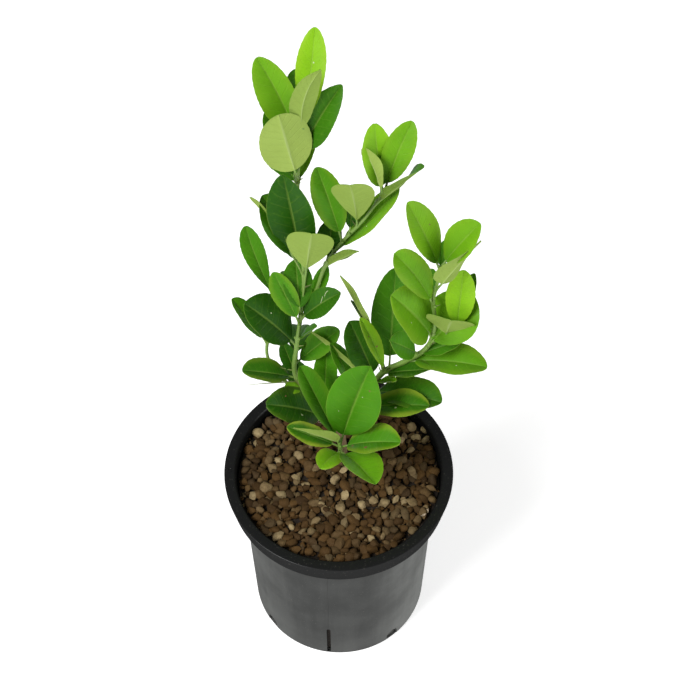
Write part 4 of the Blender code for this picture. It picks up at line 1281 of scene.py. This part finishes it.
def mark_form(form, along, across, diameter):
    """A thin round flake that lies on a leaf's upper face."""
    reach_along = diameter / (form.length * (1 - form.stalk)) / 2
    reach_across = diameter / max(2 * half_width(along, form.width, form.rise, form.fall), 2.0)
    points = []
    for proud, share in MARK_RINGS:
        for turn in circle(MARK_SIDES):
            uneven = share * (1 + 0.22 * math.sin(3 * turn + diameter * 9))
            points.append(form.surface_point(along + reach_along * uneven * math.cos(turn),
                                             across + reach_across * uneven * math.sin(turn), proud))
    low, low_rim, top, top_rim = (MARK_SIDES * k for k in range(4))
    faces = band(low, low_rim, MARK_SIDES) + turned_over(band(top, top_rim, MARK_SIDES))
    faces += band(low_rim, top_rim, MARK_SIDES)
    faces += [tuple(reversed(range(low, low_rim))), tuple(range(top, top_rim))]
    return points, faces


def build_marks():
    """Brown spots, pale flecks and pale streaks on some leaves."""
    forms = {shoot: leaf_forms(shoot) for shoot in LEAVES}
    brown = Parcel()
    pale = Parcel()
    for parcel, marks in ((brown, BROWN_MARKS), (pale, PALE_MARKS)):
        for shoot, index, *place in marks:
            parcel.add(*mark_form(forms[shoot][index], *place))
    for shoot, index, path in TRAILS:
        form = forms[shoot][index]
        route = [form.surface_point(along, across, TRAIL_PROUD) for along, across in smooth_route(path, 6)]
        pale.add(*tube_form(np.array(route), TRAIL_RADIUS, 6))
    for name, parcel, look in (("brown", brown, BROWN_MARK), ("pale", pale, PALE_MARK)):
        finish = mark_finish(name + "_mark_look", *look)
        add_piece("leaf_" + name + "_marks", parcel.mesh(), finish)


# The stage

def build_stage(stage):
    """The floor, an even white light, two softboxes and the camera."""
    bpy.ops.mesh.primitive_plane_add(size=FLOOR_SIZE)
    floor = bpy.context.active_object
    floor.name = "floor"
    floor.data.materials.append(floor_finish())
    world = bpy.data.worlds.new("studio")
    world.use_nodes = True
    sky = world.node_tree.nodes["Background"]
    sky.inputs["Color"].default_value = (*WHITE, 1.0)
    sky.inputs["Strength"].default_value = stage.sky
    bpy.context.scene.world = world
    bpy.context.scene.view_settings.view_transform = "Standard"
    for name, place, power in (("key_softbox", KEY_PLACE, stage.key_power),
                               ("fill_softbox", FILL_PLACE, stage.fill_power)):
        lamp = bpy.data.lights.new(name, "AREA")
        lamp.size = SOFTBOX_SIZE
        lamp.energy = power
        softbox = new_object(name, lamp)
        softbox.location = place
        softbox.rotation_mode = "QUATERNION"
        softbox.rotation_quaternion = (Vector(LIGHT_AIM) - Vector(place)).to_track_quat("-Z", "Y")
    add_camera(stage)


def add_camera(stage):
    """The camera, at the photograph's angle, with the rim's middle where the photograph has it."""
    pitch, roll = stage.camera_pitch, stage.camera_roll
    forward = Vector((0, math.cos(pitch), -math.sin(pitch)))
    level = Vector((1, 0, 0))
    above = level.cross(forward)
    right = math.cos(roll) * level + math.sin(roll) * above
    up = -math.sin(roll) * level + math.cos(roll) * above
    focal_pixels = stage.focal_length / SENSOR_WIDTH * PHOTO_PIXELS
    across, down = ((pixel - PHOTO_PIXELS / 2) / focal_pixels for pixel in RIM_MIDDLE_PIXEL)
    reach = stage.camera_distance
    place = Vector(RIM_MIDDLE) - (forward * reach + right * (across * reach) - up * (down * reach))
    data = bpy.data.cameras.new("camera")
    data.lens = stage.focal_length
    data.sensor_width = SENSOR_WIDTH
    data.clip_start = 0.01
    camera = new_object("camera", data)
    turn = Matrix((right, up, -forward)).transposed().to_4x4()
    camera.matrix_world = Matrix.Translation(place) @ turn
    bpy.context.scene.camera = camera


# Operators and panel

class LEMON_OT_pot(bpy.types.Operator):
    """Build the nursery pot"""
    bl_idname = "lemon_tree.pot"
    bl_label = "Pot"

    def execute(self, context):
        build_pot(context.scene.lemon_pot)
        return {"FINISHED"}


class LEMON_OT_filling(bpy.types.Operator):
    """Build the potting mix, the gravel and what lies on it"""
    bl_idname = "lemon_tree.filling"
    bl_label = "Filling"

    def execute(self, context):
        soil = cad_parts["soil"]
        finish = soil_finish()
        for index in range(len(soil.material_slots)):
            soil.material_slots[index].material = finish
        build_gravel_bed()
        build_gravel(context.scene.lemon_gravel)
        build_scraps()
        return {"FINISHED"}


class LEMON_OT_wood(bpy.types.Operator):
    """Build the trunk"""
    bl_idname = "lemon_tree.wood"
    bl_label = "Trunk"

    def execute(self, context):
        build_wood(context.scene.lemon_plant)
        return {"FINISHED"}


class LEMON_OT_shoots(bpy.types.Operator):
    """Build the leafy shoots"""
    bl_idname = "lemon_tree.shoots"
    bl_label = "Leafy shoots"

    def execute(self, context):
        build_shoots(context.scene.lemon_plant)
        return {"FINISHED"}


class LEMON_OT_marks(bpy.types.Operator):
    """Build the spots and trails on the leaves"""
    bl_idname = "lemon_tree.marks"
    bl_label = "Leaf marks"

    def execute(self, context):
        build_marks()
        return {"FINISHED"}


class LEMON_OT_stage(bpy.types.Operator):
    """Build the floor, the lights and the camera"""
    bl_idname = "lemon_tree.stage"
    bl_label = "Stage"

    def execute(self, context):
        build_stage(context.scene.lemon_stage)
        return {"FINISHED"}


OPERATORS = (LEMON_OT_pot, LEMON_OT_filling, LEMON_OT_wood, LEMON_OT_shoots, LEMON_OT_marks, LEMON_OT_stage)


class LEMON_PT_panel(bpy.types.Panel):
    """Lists the pieces of the potted lemon tree"""
    bl_label = "Potted Lemon Tree"
    bl_idname = "LEMON_PT_panel"
    bl_space_type = "VIEW_3D"
    bl_region_type = "UI"
    bl_category = "Lemon Tree"

    def draw(self, context):
        for operator in OPERATORS:
            self.layout.operator(operator.bl_idname)


GROUPS = {
    "lemon_pot": LemonPotSettings,
    "lemon_gravel": LemonGravelSettings,
    "lemon_plant": LemonPlantSettings,
    "lemon_stage": LemonStageSettings,
}


def register():
    for kind in (*GROUPS.values(), *OPERATORS, LEMON_PT_panel):
        bpy.utils.register_class(kind)
    for name, kind in GROUPS.items():
        setattr(bpy.types.Scene, name, bpy.props.PointerProperty(type=kind))


def unregister():
    for name in GROUPS:
        delattr(bpy.types.Scene, name)
    for kind in (LEMON_PT_panel, *reversed(OPERATORS), *GROUPS.values()):
        bpy.utils.unregister_class(kind)


def main():
    register()
    bpy.ops.lemon_tree.pot()
    bpy.ops.lemon_tree.filling()
    bpy.ops.lemon_tree.wood()
    bpy.ops.lemon_tree.shoots()
    bpy.ops.lemon_tree.marks()
    bpy.ops.lemon_tree.stage()


if __name__ == "__main__":
    main()
